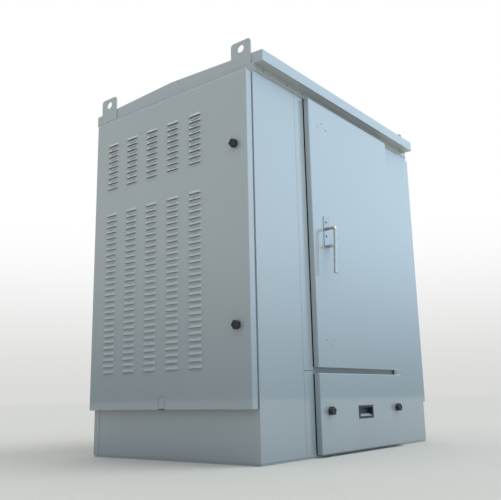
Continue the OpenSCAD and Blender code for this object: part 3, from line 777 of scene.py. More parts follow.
    def cut(self, tool: Work) -> Work:
        """Takes another mesh out of this one, and uses it up."""
        return self._boolean(tool, "DIFFERENCE")

    def fuse(self, tool: Work) -> Work:
        """Joins another mesh to this one as one solid, and uses it up."""
        return self._boolean(tool, "UNION")

    def _boolean(self, tool: Work, operation: str) -> Work:
        """Applies one Boolean, then removes its tool.

        Args:
            tool: The other mesh.
            operation: The Boolean's kind.

        Returns:
            This piece.
        """
        self._modify("BOOLEAN", operation=operation, object=tool.obj, solver="EXACT")
        tool.remove()
        return self

    def add(self, *others: Work) -> Work:
        """Joins other meshes into this object as separate shells.

        Args:
            *others: The other pieces, which are used up.

        Returns:
            This piece.
        """
        self._only()
        for other in others:
            other.obj.select_set(True)
        bpy.ops.object.join()
        return self

    def copy(self, name: str, place: Matrix | None = None) -> Work:
        """Copies the piece, with a mesh of its own.

        Args:
            name: The copy's name.
            place: Where its mesh goes; None leaves it in place.

        Returns:
            The copy.
        """
        obj = bpy.data.objects.new(name, self.obj.data.copy())
        bpy.context.scene.collection.objects.link(obj)
        if place is not None:
            obj.data.transform(place)
        return Work(obj)

    def turn(self, about: Sequence[float], axis: str, degrees: float) -> Work:
        """Turns the mesh about an axis through a point.

        Args:
            about: The point.
            axis: X, Y or Z.
            degrees: The angle.

        Returns:
            This piece.
        """
        place = Matrix.Translation(Vector(about))
        self.obj.data.transform(place @ Matrix.Rotation(math.radians(degrees), 4, axis) @ place.inverted())
        return self

    def mirrored(self, name: str) -> Work:
        """A copy on the other side of the X = 0 plane, right side out."""
        made = self.copy(name, Matrix.Scale(-1.0, 4, Vector((1.0, 0.0, 0.0))))
        return made.pick_all().turn_out_picked()

    def smooth(self, angle: float = 35.0) -> Work:
        """Shades smoothly across gentle edges, and keeps flat faces flat.

        Args:
            angle: Edges sharper than this, in degrees, stay sharp.

        Returns:
            This piece.
        """
        self._only()
        bpy.ops.object.shade_smooth_by_angle(angle=math.radians(angle))
        return self._modify("WEIGHTED_NORMAL", mode="FACE_AREA", weight=50, keep_sharp=True)

    def paint(self, *materials: bpy.types.Material) -> Work:
        """Replaces the object's materials.

        Args:
            *materials: The new ones, in order.

        Returns:
            This piece.
        """
        self.obj.data.materials.clear()
        for material in materials:
            self.obj.data.materials.append(material)
        return self

    def touch_up(self, test: Test) -> Work:
        """Gives the faces that pass a test the second material.

        Args:
            test: Says of a face's centre and normal whether it is changed.

        Returns:
            This piece.
        """
        for face in self.obj.data.polygons:
            face.material_index = int(test(face.center, face.normal))
        return self

    def remove(self) -> None:
        """Deletes the object."""
        bpy.data.objects.remove(self.obj, do_unlink=True)


def folded_pan(name: str, low: Vector, high: Vector, sheet: float, fold: float, lip: float) -> Work:
    """A pan folded from sheet, open towards +Y, with rounded folds and an inner lip.

    Args:
        name: The new object's name.
        low: Its lowest corner.
        high: Its highest corner.
        sheet: Thickness of the sheet.
        fold: Outer radius of the folds.
        lip: Width of the inner lip round the open back.

    Returns:
        The pan.
    """
    pan = Work.slab(name, low, high)
    pan.pick_faces(lambda at, way: way.y > MAINLY).drop_faces()
    pan.pick_edges(lambda at, way: at.y < high.y - NEAR).bevel_picked(fold, segments=4)
    size = high - low
    pan.pick_edges(lambda at, way: at.y > high.y - NEAR and abs(way.y) < MAINLY)
    pan.fold_in_picked((1.0 - 2.0 * lip / size.x, 1.0, 1.0 - 2.0 * lip / size.z), (low + high) / 2)
    return pan.thicken(sheet)


# ---------------------------------------------------------------- sub-assemblies


@dataclass
class SubAssembly:
    """A group of pieces that is built and dressed together."""

    frame: dict
    finishes: Finishes
    pieces: list[Work] = field(default_factory=list)

    def eased(self, node: str, name: str, width: float, segments: int = 2, angle: float = 40.0) -> Work:
        """A copy of a CAD node with its sharp edges rounded."""
        return Work.of_node(name, self.frame["nodes"][node]).ease(width, segments, angle)

    def finish(self, work: Work, body: str, look: Look, *nodes: str, painted: bool = False) -> None:
        """Dresses a piece and ties it to the frame.

        Args:
            work: The piece.
            body: The CAD body that it rides on.
            look: Its finish.
            *nodes: The CAD nodes that it stands for.
            painted: Whether its materials are already on.
        """
        if not painted:
            work.paint(self.finishes.of(look))
        work.smooth()
        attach(work.obj, body)
        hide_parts(*nodes)
        self.pieces.append(work)

    def report(self) -> None:
        """Logs each piece's size and face count."""
        for work in self.pieces:
            size = work.obj.dimensions
            log.info("%s: %.0f x %.0f x %.0f mm, %d faces", work.obj.name, *(1000 * s for s in size),
                     len(work.obj.data.polygons))


@dataclass
class SheetMetal(SubAssembly):
    """Plain plates and profiles: copies of the CAD shapes with their cut edges eased."""

    edge: float = 0.0006
    names: tuple[str, ...] = (
        "base_ring", "corner_post_front_left", "corner_post_front_right", "corner_post_rear_left",
        "corner_post_rear_right", "lock_strip_upper", "lock_strip_lower", "hinge_post", "front_panel_left",
        "front_panel_right", "header_strip", "rear_panel", "side_wall_left", "side_wall_right",
        "mid_rail", "top_rail", "sill_rail",
    )

    def build(self) -> None:
        """Copies and eases each plate."""
        for name in self.names:
            self.finish(self.eased(name, f"{name}_eased", self.edge), "cabinet", Look.PAINT, name)


@dataclass
class Roof(SubAssembly):
    """Folded roof with a shallow ridge, and the four lifting lugs on its sides."""

    sheet: float = 0.002
    fold: float = 0.004
    skirt: float = 0.048
    lip_front: float = 0.054
    lip_side: float = 0.030
    lug_edge: float = 0.0012

    def build(self) -> None:
        """Folds the roof and eases the lugs' edges."""
        self._build_shell()
        for place in ("front_left", "front_right", "rear_left", "rear_right"):
            name = f"lug_{place}"
            lug = self.eased(name, f"{name}_drilled", self.lug_edge, angle=60.0)
            self.finish(lug, "cabinet", Look.PAINT, name)

    def _build_shell(self) -> None:
        """Raises the ridge on a slab, opens its underside and folds the soffit lips in."""
        low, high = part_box("roof")
        eave = low.z + self.skirt
        middle = (low.y + high.y) / 2
        shell = Work.slab("roof_folded", low, (high.x, high.y, eave)).pick_all()
        bpy.ops.mesh.bisect(plane_co=(0.0, middle, 0.0), plane_no=(0.0, 1.0, 0.0))
        shell.done()
        shell.pick_edges(lambda at, way: abs(at.y - middle) < NEAR and at.z > eave - NEAR)
        shell.move_picked((0.0, 0.0, high.z - eave))
        shell.pick_faces(lambda at, way: way.z < -MAINLY).drop_faces()
        shell.pick_edges(lambda at, way: at.z > low.z + NEAR and not (
            abs(at.y - middle) < NEAR and abs(way.x) < MAINLY)).bevel_picked(self.fold, segments=3)
        size = high - low
        shell.pick_edges(lambda at, way: at.z < low.z + NEAR and abs(way.z) < MAINLY)
        factors = (1.0 - 2.0 * self.lip_side / size.x, 1.0 - 2.0 * self.lip_front / size.y, 1.0)
        shell.fold_in_picked(factors, (low + high) / 2).thicken(self.sheet)
        self.finish(shell, "cabinet", Look.PAINT, "roof")


@dataclass
class SideDoor(SubAssembly):
    """Louvred side door: a folded pan with pressed hoods over slots and an arched cable notch."""

    face_x: float = -0.694
    back_x: float = -0.663
    sheet: float = 0.002
    fold: float = 0.004
    rear_cut: float = 0.005
    rear_strip: float = 0.06
    hood_size: Vector = field(default_factory=lambda: Vector((0.007, 0.065, 0.013)))
    hood_sheet: float = 0.0012
    hood_root: float = 0.0005
    hood_toe: float = 0.0003
    hood_round: float = 0.006
    hood_crest: float = 0.3
    slot_side: float = 0.003
    slot_foot: float = 0.0005
    slot_top: float = 0.0085
    slot_front: float = 0.004
    slot_back: float = 0.006
    pitch: float = 0.025
    column_pitch: float = 0.124
    columns: int = 5
    groups: tuple[tuple[int, int], ...] = ((0, 9), (13, 28))
    rear_margin: float = 0.116
    top_margin: float = 0.122
    hinge_z: tuple[float, ...] = (0.298, 0.824, 1.350)
    pin_x: float = -0.674
    pin_y: float = 0.431
    pin_hole: float = 0.00415
    shelf_room: float = 0.014
    ear_root: float = 0.0015
    ear_reach: float = 0.006
    ear_y: tuple[float, float] = (-0.008, 0.007)
    ear_z: tuple[float, float] = (0.0003, 0.0033)
    notch_size: Vector = field(default_factory=lambda: Vector((0.0013, 0.035, 0.053)))
    notch_shift: float = 0.006
    notch_line: float = 0.002
    notch_slot: float = 0.005
    over: float = 0.002
    past: float = 0.001

    def build(self) -> None:
        """Builds the left door, and the right one as its mirror image."""
        low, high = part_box("side_door_left")
        pan = self._pan(Vector((self.face_x, low.y, low.z)), Vector((self.back_x, high.y, high.z)))
        for first, rows in self.groups:
            pan.cut(self._slots(high, first, rows))
        self._notch(pan, low, high)
        hoods = [self._hoods(high, first, rows) for first, rows in self.groups]
        pan.add(*hoods, *self._ears())
        right = pan.mirrored("side_door_right_folded")
        self.finish(pan, "left_side_door", Look.PAINT, "side_door_left")
        self.finish(right, "right_side_door", Look.PAINT, "side_door_right")

    def _pan(self, low: Vector, high: Vector) -> Work:
        """The folded pan, open towards the body, with the rear return cut short for the hinges.

        Args:
            low: Its lowest corner.
            high: Its highest corner.

        Returns:
            The pan.
        """
        pan = Work.slab("side_door_left_folded", low, high)
        pan.pick_faces(lambda at, way: way.x > MAINLY).drop_faces()
        pan.pick_edges(lambda at, way: at.x < high.x - NEAR).bevel_picked(self.fold, segments=4)
        pan.thicken(self.sheet)
        strip = (high.x - self.rear_cut, high.y - self.rear_strip, low.z - OVER)
        pan.cut(Work.slab("tool", strip, high + Vector((OVER, OVER, OVER))))
        inside = high.y - self.sheet - self.past
        half = self.shelf_room / 2
        for z in self.hinge_z:
            shelf = (self.pin_x - self.shelf_room, inside, z - half)
            pan.cut(Work.slab("tool", shelf, (high.x + OVER, high.y + OVER, z + half)))
        return pan

    def _first(self, high: Vector, row: int) -> Vector:
        """Middle of the lower edge of the rearmost louvre in a row."""
        return Vector((self.face_x, high.y - self.rear_margin, high.z - self.top_margin - row * self.pitch))

    def _grid(self, work: Work, rows: int) -> Work:
        """Repeats one louvre over a group's rows and columns."""
        work.repeat(rows, (0.0, 0.0, -self.pitch))
        return work.repeat(self.columns, (0.0, -self.column_pitch, 0.0))

    def _slots(self, high: Vector, row: int, rows: int) -> Work:
        """Cutting tool for the slots behind the hoods of one group.

        Args:
            high: The door's highest corner.
            row: The group's first row.
            rows: How many rows it has.

        Returns:
            The tool.
        """
        at = self._first(high, row)
        half = self.hood_size.y / 2 - self.slot_side
        low = at + Vector((-self.slot_front, -half, self.slot_foot))
        return self._grid(Work.slab("tool", low, at + Vector((self.slot_back, half, self.slot_top))), rows)

    def _hoods(self, high: Vector, row: int, rows: int) -> Work:
        """Pressed hoods of one group, open at their lower edge.

        Args:
            high: The door's highest corner.
            row: The group's first row.
            rows: How many rows it has.

        Returns:
            The hoods, as separate shells of one piece.
        """
        at = self._first(high, row)
        out, wide, tall = self.hood_size
        half = wide / 2
        hood = Work.slab("hood", at + Vector((-out, -half, 0.0)), at + Vector((self.hood_root, half, tall)))
        hood.pick_edges(lambda mid, way: abs(way.y) > MAINLY and mid.x < at.x - NEAR and mid.z > at.z + NEAR)
        hood.move_picked((out - self.hood_toe, 0.0, 0.0))
        hood.pick_faces(lambda mid, way: way.z < -NEARLY or way.x > NEARLY).drop_faces()
        crest_x = at.x - out * self.hood_crest
        hood.pick_edges(lambda mid, way: abs(way.y) < MAINLY and mid.x < crest_x and mid.z > at.z + NEAR)
        hood.bevel_picked(self.hood_round, segments=4)
        return self._grid(hood.thicken(self.hood_sheet), rows)

    def _arch(self, low: Vector, wide: float, tall: float, depth: float) -> Work:
        """A solid with an arched outline, standing at low.

        Args:
            low: Middle of its foot.
            wide: Its width along Y.
            tall: Its height.
            depth: Its depth along X.

        Returns:
            The solid.
        """
        half = wide / 2
        foot = low - Vector((0.0, half, self.over))
        block = Work.slab("tool", foot, low + Vector((depth, half, tall - half)))
        centre = low + Vector((0.0, 0.0, tall - half))
        return block.fuse(Work.rod("tool", centre, centre + Vector((depth, 0.0, 0.0)), half))

    def _notch(self, pan: Work, low: Vector, high: Vector) -> None:
        """Cuts the arched groove and the slot at its foot.

        Args:
            pan: The door.
            low: Its lowest corner.
            high: Its highest corner.
        """
        depth, wide, tall = self.notch_size
        line, past, over = self.notch_line, self.past, self.over
        foot = Vector((self.face_x - over, (low.y + high.y) / 2 + self.notch_shift, low.z))
        groove = self._arch(foot, wide, tall, over + depth)
        inner = self._arch(foot - Vector((past, 0.0, past)), wide - 2 * line, tall - line + past, OVER)
        pan.cut(groove.cut(inner))
        half = wide / 2 - line
        slot_end = foot + Vector((4 * OVER, half, self.notch_slot))
        pan.cut(Work.slab("tool", foot - Vector((past, half, over)), slot_end))

    def _ears(self) -> list[Work]:
        """Hinge ears with their pin holes.

        Returns:
            One ear for each bracket.
        """
        ears = []
        for z in self.hinge_z:
            low = (self.face_x + self.ear_root, self.pin_y + self.ear_y[0], z + self.ear_z[0])
            high = (self.pin_x + self.ear_reach, self.pin_y + self.ear_y[1], z + self.ear_z[1])
            start, end = ((self.pin_x, self.pin_y, z + step) for step in (-OVER, OVER))
            ears.append(Work.slab("ear", low, high).cut(Work.rod("tool", start, end, self.pin_hole)))
        return ears


@dataclass
class MainDoor(SubAssembly):
    """The main door's folded pan, its rivets and its lift-off hinges."""

    sheet: float = 0.002
    fold: float = 0.0035
    lip: float = 0.016
    shaft_z: float = 0.9065
    shaft_hole: float = 0.0133
    hinge_edge: float = 0.0005
    head_r: float = 0.005
    head_h: float = 0.002
    head_top: float = 0.66
    head_edge: float = 0.0005
    mandrel: float = 0.0016
    mandrel_end: float = 0.0015
    mandrel_lead: float = 0.001
    shank_r: float = 0.0025
    shank_end: float = 0.007
    spread: float = 0.032
    rise: float = 0.022

    def build(self) -> None:
        """Folds the door, drills it, sets the rivets and eases the hinges."""
        low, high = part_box("main_door")
        plate_low, plate_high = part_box("handle_plate")
        pan = folded_pan("main_door_folded", low, high, self.sheet, self.fold, self.lip)
        x = (plate_low.x + plate_high.x) / 2
        start, end = ((x, low.y + step, self.shaft_z) for step in (-OVER, OVER))
        pan.cut(Work.rod("tool", start, end, self.shaft_hole, FINE))
        self.finish(pan, "main_door", Look.PAINT, "main_door")
        self._build_rivets()
        for name, body in (("door_hinge_wings", "main_door"), ("door_hinge_pins", "cabinet")):
            self.finish(self.eased(name, f"{name}_eased", self.hinge_edge), body, Look.STAINLESS, name)

    def _build_rivets(self) -> None:
        """Domed rivet heads in two triangles, modelled once and copied."""
        low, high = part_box("guide_rivets")
        x = (low.x + high.x) / 2
        top, foot = high.z - self.head_r, low.z + self.head_r
        places = [
            (x, top), (x - self.spread, top - self.rise), (x + self.spread, top - self.rise),
            (x, foot), (x - self.spread, foot + self.rise), (x + self.spread, foot + self.rise),
        ]
        first = self._rivet(x, low.y, top)
        steps = [Vector((to_x - x, 0.0, to_z - top)) for to_x, to_z in places[1:]]
        first.add(*(first.copy("rivet", Matrix.Translation(step)) for step in steps))
        # Painted shadow: the foot of each mandrel hole gets the near-black recess material.
        first.paint(self.finishes.of(Look.PAINT), self.finishes.of(Look.RECESS))
        centres = [Vector(place) for place in places]

        def in_recess(at: Vector, way: Vector) -> bool:
            """Whether a face is at the foot of a mandrel's hole."""
            reach = min((at.xz - centre).length for centre in centres)
            return reach < self.mandrel + NEAR and at.y > low.y + NEAR

        first.touch_up(in_recess)
        self.finish(first, "main_door", Look.PAINT, "guide_rivets", painted=True)

    def _rivet(self, x: float, y: float, z: float) -> Work:
        """One rivet: a shank with a domed head.

        Args:
            x: Where it is across the door.
            y: Where its head starts.
            z: How high it is.

        Returns:
            The rivet.
        """
        head = Work.rod("rivet_heads", (x, y, z), (x, y + self.head_h, z), self.head_r, SMALL)
        head.pick_faces(lambda mid, way: way.y < -NEARLY)
        head.scale_picked((self.head_top, 1.0, self.head_top), (x, y, z))
        head.ease(self.head_edge, segments=3, angle=20.0)
        ends = ((x, y - self.mandrel_lead, z), (x, y + self.mandrel_end, z))
        head.cut(Work.rod("tool", *ends, self.mandrel, TINY))
        ends = ((x, y + self.head_h / 2, z), (x, y + self.shank_end, z))
        return head.fuse(Work.rod("tool", *ends, self.shank_r, TINY))


@dataclass
class Handle(SubAssembly):
    """Bent round lever on its shaft, and the plate with the padlock tab behind it."""

    radius: float = 0.008
    bend: float = 0.014
    length: float = 0.195
    lean: float = 4.0
    sides: int = 28
    bend_steps: int = 10
    bar_edge: float = 0.0008
    plate_edge: float = 0.0009
    bolt_edge: float = 0.0012

    def build(self) -> None:
        """Bends the lever and shapes the plate and its bolts."""
        self._build_lever()
        plate = self.eased("handle_plate", "handle_plate_eased", self.plate_edge, segments=3)
        self.finish(plate, "main_door", Look.POLISHED, "handle_plate")
        bolts = self.eased("handle_bolts", "handle_bolts_eased", self.bolt_edge, segments=3)
        self.finish(bolts, "main_door", Look.STAINLESS, "handle_bolts")

    def _build_lever(self) -> None:
        """Spins a quarter bend from the shaft, draws the bar down from it and leans it to its rest."""
        low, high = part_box("handle_lever")
        plate_low, plate_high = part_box("handle_plate")
        x = (plate_low.x + plate_high.x) / 2
        shaft_z = high.z - self.radius
        corner_y = low.y + self.radius + self.bend
        corner_z = shaft_z - self.bend
        lever = Work.disc("handle_lever_bent", (x, high.y, shaft_z), self.radius, self.sides)
        lever.pick_all().push_picked((0.0, corner_y - high.y, 0.0)).done()
        lever.pick_faces(lambda at, way: abs(at.y - corner_y) < NEAR)
        bpy.ops.mesh.spin(
            steps=self.bend_steps, angle=-math.pi / 2, center=(x, corner_y, corner_z), axis=(1.0, 0.0, 0.0))
        lever.done()
        lever.pick_faces(lambda at, way: abs(at.z - corner_z) < NEAR and abs(way.z) > NEARLY)
        lever.push_picked((0.0, 0.0, -self.length + self.bend)).done()
        lever.pick_all().merge_picked().turn_out_picked().ease(self.bar_edge, angle=60.0)
        lever.turn((x, 0.0, shaft_z), "Y", self.lean)
        self.finish(lever, "handle", Look.STAINLESS, "handle_lever")


@dataclass
class BatteryCover(SubAssembly):
    """Lift-off cover: a folded pan with a flush pull."""

    sheet: float = 0.002
    fold: float = 0.0035
    lip: float = 0.016
    flange: float = 0.002
    flange_round: float = 0.0012
    rim: float = 0.008
    play: float = 0.0005
    wall: float = 0.0015
    scoop_band: float = 0.012
    scoop_shift: Vector = field(default_factory=lambda: Vector((0.0, -0.001, 0.009)))
    scoop_depth: float = 0.003
    scoop_slope: tuple[float, float] = (-0.3, 0.45)
    pull_edge: float = 0.0006

    def build(self) -> None:
        """Folds the cover and sets the pull into it."""
        low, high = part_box("battery_cover")
        pan = folded_pan("battery_cover_folded", low, high, self.sheet, self.fold, self.lip)
        pull_low, pull_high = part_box("flush_pull")
        inset = self.rim - self.play
        hole_low = (pull_low.x + inset, low.y - OVER, pull_low.z + inset)
        pan.cut(Work.slab("tool", hole_low, (pull_high.x - inset, low.y + OVER, pull_high.z - inset)))
        self.finish(pan, "battery_cover", Look.PAINT, "battery_cover")
        self._build_pull(pull_low, pull_high)

    def _build_pull(self, low: Vector, high: Vector) -> None:
        """Flange, cup and sloping scoop of the flush pull, with a painted highlight on the scoop's upward
        faces.

        Args:
            low: The pull's lowest corner.
            high: Its highest corner.
        """
        face, back = low.y, high.y - self.wall
        pull = Work.slab("flush_pull_moulded", low, (high.x, face + self.flange, high.z))
        pull.pick_faces(lambda at, way: way.y > NEARLY).inset_picked(self.rim)
        pull.push_picked((0.0, high.y - face - self.flange, 0.0)).done()
        pull.pick_edges(lambda at, way: at.y < face + NEAR).bevel_picked(self.flange_round, segments=3)
        pull.pick_faces(lambda at, way: way.y < -NEARLY and at.y < face + NEAR)
        pull.inset_picked(self.rim).push_picked((0.0, back - face, 0.0)).done()
        band = low.z + self.scoop_band
        pull.pick_edges(lambda at, way: abs(way.x) > NEARLY and abs(at.y - back) < NEAR and at.z < band)
        pull.move_picked(self.scoop_shift).ease(self.pull_edge, angle=30.0)
        # Painted highlight: the scoop's faces that look up and out get the pale plastic, standing in for
        # light from above.
        pull.paint(self.finishes.of(Look.PLASTIC), self.finishes.of(Look.SCOOP))
        slope_y, slope_z = self.scoop_slope
        pull.touch_up(lambda at, way: way.z > slope_z and way.y < slope_y and at.y > face + self.scoop_depth)
        self.finish(pull, "battery_cover", Look.PLASTIC, "flush_pull", painted=True)


@dataclass
class Knobs(SubAssembly):
    """Six lobed quarter-turn knobs, modelled once and copied."""

    seat_x: float = 0.694
    base_r: float = 0.012
    base_h: float = 0.004
    base_edge: float = 0.0006
    height: float = 0.020
    span: float = 0.034
    lobes: int = 5
    lobe_r: float = 0.008
    lobe_sides: int = 28
    top_round: float = 0.0022
    foot_round: float = 0.0010
    dish: float = 0.0016
    dish_r: float = 0.0085
    stud_r: float = 0.004
    stud_reach: float = 0.044
    lap: float = 0.001

    def build(self) -> None:
        """Models one knob along +Z and copies it to each place."""
        first = self._knob()
        for side in Side:
            way = side.name.lower()
            turn = Matrix.Rotation(math.radians(QUARTER * side.value), 4, "Y")
            for level in ("upper", "lower"):
                name = f"knob_{way}_{level}"
                low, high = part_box(name)
                seat = (side.value * self.seat_x, (low.y + high.y) / 2, (low.z + high.z) / 2)
                self._put(first, name, Matrix.Translation(seat) @ turn, f"{way}_{level}_knob")
        face_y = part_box("battery_cover")[0].y
        turn = Matrix.Rotation(math.radians(QUARTER), 4, "X")
        for side in Side:
            way = side.name.lower()
            name = f"cover_knob_{way}"
            low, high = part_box(name)
            seat = ((low.x + high.x) / 2, face_y, (low.z + high.z) / 2)
            self._put(first, name, Matrix.Translation(seat) @ turn, f"{way}_cover_knob")
        first.remove()

    def _put(self, first: Work, name: str, place: Matrix, body: str) -> None:
        """Copies the knob to its seat."""
        self.finish(first.copy(f"{name}_moulded", place), body, Look.PLASTIC, name)

    def _knob(self) -> Work:
        """A base, a grip with rounded lobes and a dished top, and a stud, standing along +Z.

        Returns:
            The knob.
        """
        lobe_at = self.span / 2 - self.lobe_r
        foot, top = self.base_h - self.lap, self.height
        grip = Work.rod("knob", (0.0, 0.0, foot), (0.0, 0.0, top), lobe_at, FINE)
        for number in range(self.lobes):
            turn = math.radians(QUARTER + 360.0 * number / self.lobes)
            x, y = lobe_at * math.cos(turn), lobe_at * math.sin(turn)
            grip.fuse(Work.rod("tool", (x, y, foot), (x, y, top), self.lobe_r, self.lobe_sides))
        grip.pick_all().unify_picked()
        grip.pick_edges(lambda at, way: at.z > top - NEAR).bevel_picked(self.top_round, segments=4)
        grip.pick_edges(lambda at, way: at.z < foot + NEAR).bevel_picked(self.foot_round, segments=2)
        bowl = Work.rod("tool", (0.0, 0.0, top - self.dish), (0.0, 0.0, top + OVER), self.dish_r, FINE)
        grip.cut(bowl.pick_edges(lambda at, way: at.z < top).bevel_picked(self.foot_round, segments=2))
        base = Work.rod("tool", (0.0, 0.0, 0.0), (0.0, 0.0, self.base_h), self.base_r, FINE)
        stud = Work.rod("tool", (0.0, 0.0, -self.stud_reach), (0.0, 0.0, self.lap), self.stud_r, SMALL)
        return grip.fuse(base.ease(self.base_edge)).fuse(stud)


@dataclass
class Screws(SubAssembly):
    """Pan-head screws of the header strip and the rear panel, with cross recesses."""

    head_r: float = 0.005
    head_h: float = 0.003
    head_top: float = 0.72
    head_edge: float = 0.0005
    shank_r: float = 0.0024
    grip: float = 0.003
    lap: float = 0.0005
    recess_wide: float = 0.0013
    recess_reach: float = 0.0028
    recess_z: float = 0.0012
    header_x: tuple[float, ...] = (-0.595, -0.435, -0.324, 0.435, 0.595)
    rear_rows: int = 4
    rear_end: float = 0.025
    rear_edge: float = 0.015

    def build(self) -> None:
        """Models one screw and copies it to every place of the CAD screws."""
        first = self._screw()
        strip_low, strip_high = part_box("header_strip")
        strip_z = (strip_low.z + strip_high.z) / 2
        made = [self._put(first, (x, strip_low.y, strip_z), QUARTER) for x in self.header_x]
        rear_low, rear_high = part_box("rear_panel")
        start, end = rear_low.z + self.rear_end, rear_high.z - self.rear_end
        for row in range(self.rear_rows):
            z = start + row * (end - start) / (self.rear_rows - 1)
            for side in Side:
                seat = (side.value * (rear_high.x - self.rear_edge), rear_high.y, z)
                made.append(self._put(first, seat, -QUARTER))
        first.remove()
        made[0].obj.name = "panel_screws_headed"
        made[0].add(*made[1:])
        self.finish(made[0], "cabinet", Look.ZINC, "panel_screws", painted=True)

    def _put(self, first: Work, seat: Sequence[float], degrees: float) -> Work:
        """A copy of the screw at one seat, turned about X."""
        turn = Matrix.Rotation(math.radians(degrees), 4, "X")
        return first.copy("screw", Matrix.Translation(seat) @ turn)

    def _screw(self) -> Work:
        """One screw with its head along +Z.

        Returns:
            The screw.
        """
        reach, half = self.recess_reach, self.recess_wide / 2
        screw = Work.rod("screw_master", (0.0, 0.0, 0.0), (0.0, 0.0, self.head_h), self.head_r, SMALL)
        screw.pick_faces(lambda at, way: way.z > NEARLY)
        screw.scale_picked((self.head_top, self.head_top, 1.0), (0.0, 0.0, self.head_h))
        screw.ease(self.head_edge, angle=25.0)
        for wide, tall in ((reach, half), (half, reach)):
            screw.cut(Work.slab("tool", (-wide, -tall, self.recess_z), (wide, tall, OVER)))
        screw.fuse(Work.rod("tool", (0.0, 0.0, -self.grip), (0.0, 0.0, self.lap), self.shank_r, TINY))
        # Painted shadow: the faces inside the cross recess get the near-black recess material.
        screw.paint(self.finishes.of(Look.ZINC), self.finishes.of(Look.RECESS))
        depths = (self.recess_z - NEAR, self.head_h - NEAR)
        return screw.touch_up(lambda at, way: at.xy.length < reach and depths[0] < at.z < depths[1])


@dataclass
class SoftParts(SubAssembly):
    """Rubber gaskets of the door and the cover with rounded sections, and the pleated filter mats."""

    edge: float = 0.003
    pleat: float = 0.024
    pleat_depth: float = 0.005
    pleat_sides: int = 12
    mat_edge: float = 0.0015

    def build(self) -> None:
        """Rounds each gasket's section and pleats the mats."""
        for name, body in (("door_gasket", "main_door"), ("cover_gasket", "battery_cover")):
            seal = self.eased(name, f"{name}_round", self.edge, segments=3)
            self.finish(seal, body, Look.RUBBER, name)
        for side in Side:
            self._build_mat(side)

    def _build_mat(self, side: Side) -> None:
        """A mat as thick as its holder, with upright pleats pressed into its outer face.

        Args:
            side: The side of the cabinet that it is on.
        """
        name = f"filter_{side.name.lower()}"
        low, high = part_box(name)
        mat = Work.slab(f"{name}_pleated", low, high)
        x = high.x if side is Side.RIGHT else low.x
        count = int((high.y - low.y) / self.pleat) - 1
        y = (low.y + high.y) / 2 - (count - 1) * self.pleat / 2
        ends = ((x, y, low.z - self.pleat), (x, y, high.z + self.pleat))
        groove = Work.rod("tool", *ends, self.pleat_depth, self.pleat_sides)
        mat.cut(groove.repeat(count, (0.0, self.pleat, 0.0))).ease(self.mat_edge)
        self.finish(mat, "cabinet", Look.FILTER, name)


# ---------------------------------------------------------------- studio


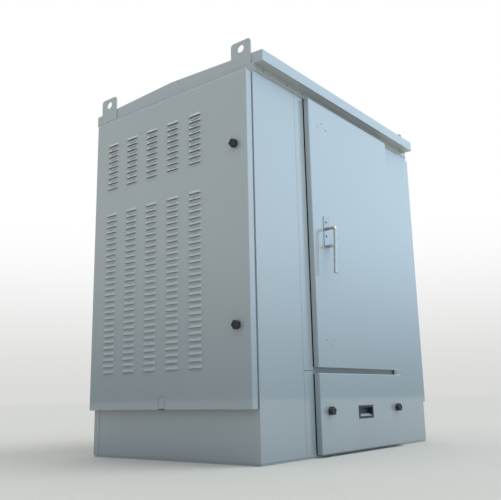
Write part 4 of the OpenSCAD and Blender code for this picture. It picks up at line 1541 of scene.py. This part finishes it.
@dataclass
class Studio:
    """Camera, floor, surround and one soft lamp."""

    eye: Triple = (-2.5055, -1.8837, 0.2350)
    target: Triple = (-0.6840, -0.4450, 0.7591)
    roll: float = -0.0212
    lens: float = 47.5
    sensor: float = 36.0
    shift: tuple[float, float] = (-0.0034, -0.0072)
    clip: tuple[float, float] = (0.05, 100.0)
    floor_size: float = 60.0
    horizon: tuple[float, float] = (-0.02, 0.26)
    ahead_axis: Triple = (0.1, -1.0, 0.0)
    ahead_span: tuple[float, float] = (-0.2, 0.6)
    beyond_axis: Triple = (0.77, 0.62, 0.1)
    beyond_span: tuple[float, float] = (0.50, 0.85)
    overhead_span: tuple[float, float] = (0.5, 0.95)
    aside: tuple[Colour, Colour] = ((0.12, 0.17, 0.21), (0.56, 0.59, 0.59))
    ahead: tuple[Colour, Colour] = ((0.16, 0.26, 0.34), (0.92, 1.27, 1.62))
    beyond: tuple[Colour, Colour] = ((0.70, 0.70, 0.69), (1.0, 1.0, 1.0))
    overhead: Colour = (1.10, 1.16, 1.22)
    lamp_way: Triple = (0.5, -0.75, 1.5)
    lamp_spread: float = 30.0
    lamp_power: float = 0.9
    lamp_colour: Colour = (1.0, 0.97, 0.92)

    def build(self) -> None:
        """Sets the camera and the room."""
        self._camera()
        self._floor()
        self._surround()
        self._lamp()
        scene = bpy.context.scene
        scene.view_settings.view_transform = "Standard"
        scene.view_settings.look = "None"

    def _camera(self) -> None:
        """The camera at the viewing angle."""
        data = bpy.data.cameras.new("camera")
        data.lens = self.lens
        data.sensor_width = self.sensor
        data.shift_x, data.shift_y = self.shift
        data.clip_start, data.clip_end = self.clip
        camera = bpy.data.objects.new("camera", data)
        bpy.context.scene.collection.objects.link(camera)
        way = Vector(self.target) - Vector(self.eye)
        turn = way.to_track_quat("-Z", "Y").to_matrix().to_4x4() @ Matrix.Rotation(self.roll, 4, "Z")
        camera.matrix_world = Matrix.Translation(self.eye) @ turn
        bpy.context.scene.camera = camera

    def _floor(self) -> None:
        """A wide pale floor."""
        Work.clear()
        bpy.ops.mesh.primitive_plane_add(size=self.floor_size, location=(0.0, 0.0, 0.0))
        floor = bpy.context.object
        floor.name = "studio_floor"
        floor.data.materials.append(StudioFloor(Slot.PAINTED).material("pale_floor"))

    def _surround(self) -> None:
        """Pale surround that lights the cabinet: bright beyond it, blue ahead of it, dimmer aside."""
        world = bpy.data.worlds.new("studio")
        bpy.context.scene.world = world
        world.use_nodes = True
        maker = NodeMaker(world.node_tree)
        way = maker.node("ShaderNodeTexCoord", {}, {}, "Generated")
        height = maker.towards(way, UP, *self.horizon)
        aside, ahead, beyond = (maker.mix(height, *pair) for pair in (self.aside, self.ahead, self.beyond))
        colour = maker.mix(maker.towards(way, self.ahead_axis, *self.ahead_span), aside, ahead)
        colour = maker.mix(maker.towards(way, self.beyond_axis, *self.beyond_span), colour, beyond)
        colour = maker.mix(maker.towards(way, UP, *self.overhead_span), colour, self.overhead)
        seen = maker.node("ShaderNodeLightPath", {}, {}, "Is Camera Ray")
        light = {"Color": maker.mix(seen, colour, beyond), "Strength": 1.0}
        maker.finish("ShaderNodeBackground", "ShaderNodeOutputWorld", light)

    def _lamp(self) -> None:
        """One far, soft lamp."""
        data = bpy.data.lights.new("high_lamp", "SUN")
        data.angle = math.radians(self.lamp_spread)
        data.energy = self.lamp_power
        data.color = self.lamp_colour
        lamp = bpy.data.objects.new("high_lamp", data)
        bpy.context.scene.collection.objects.link(lamp)
        lamp.matrix_world = Vector(self.lamp_way).to_track_quat("Z", "Y").to_matrix().to_4x4()


def main() -> None:
    """Builds every sub-assembly in order and reports its pieces."""
    logging.basicConfig(level=logging.INFO, format="%(name)s: %(message)s")
    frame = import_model()
    finishes = Finishes()
    finishes.dress_frame(frame)
    Studio().build()
    for kind in (SheetMetal, Roof, SideDoor, MainDoor, Handle, BatteryCover, Knobs, Screws, SoftParts):
        group = kind(frame, finishes)
        group.build()
        group.report()


if __name__ == "__main__":
    main()
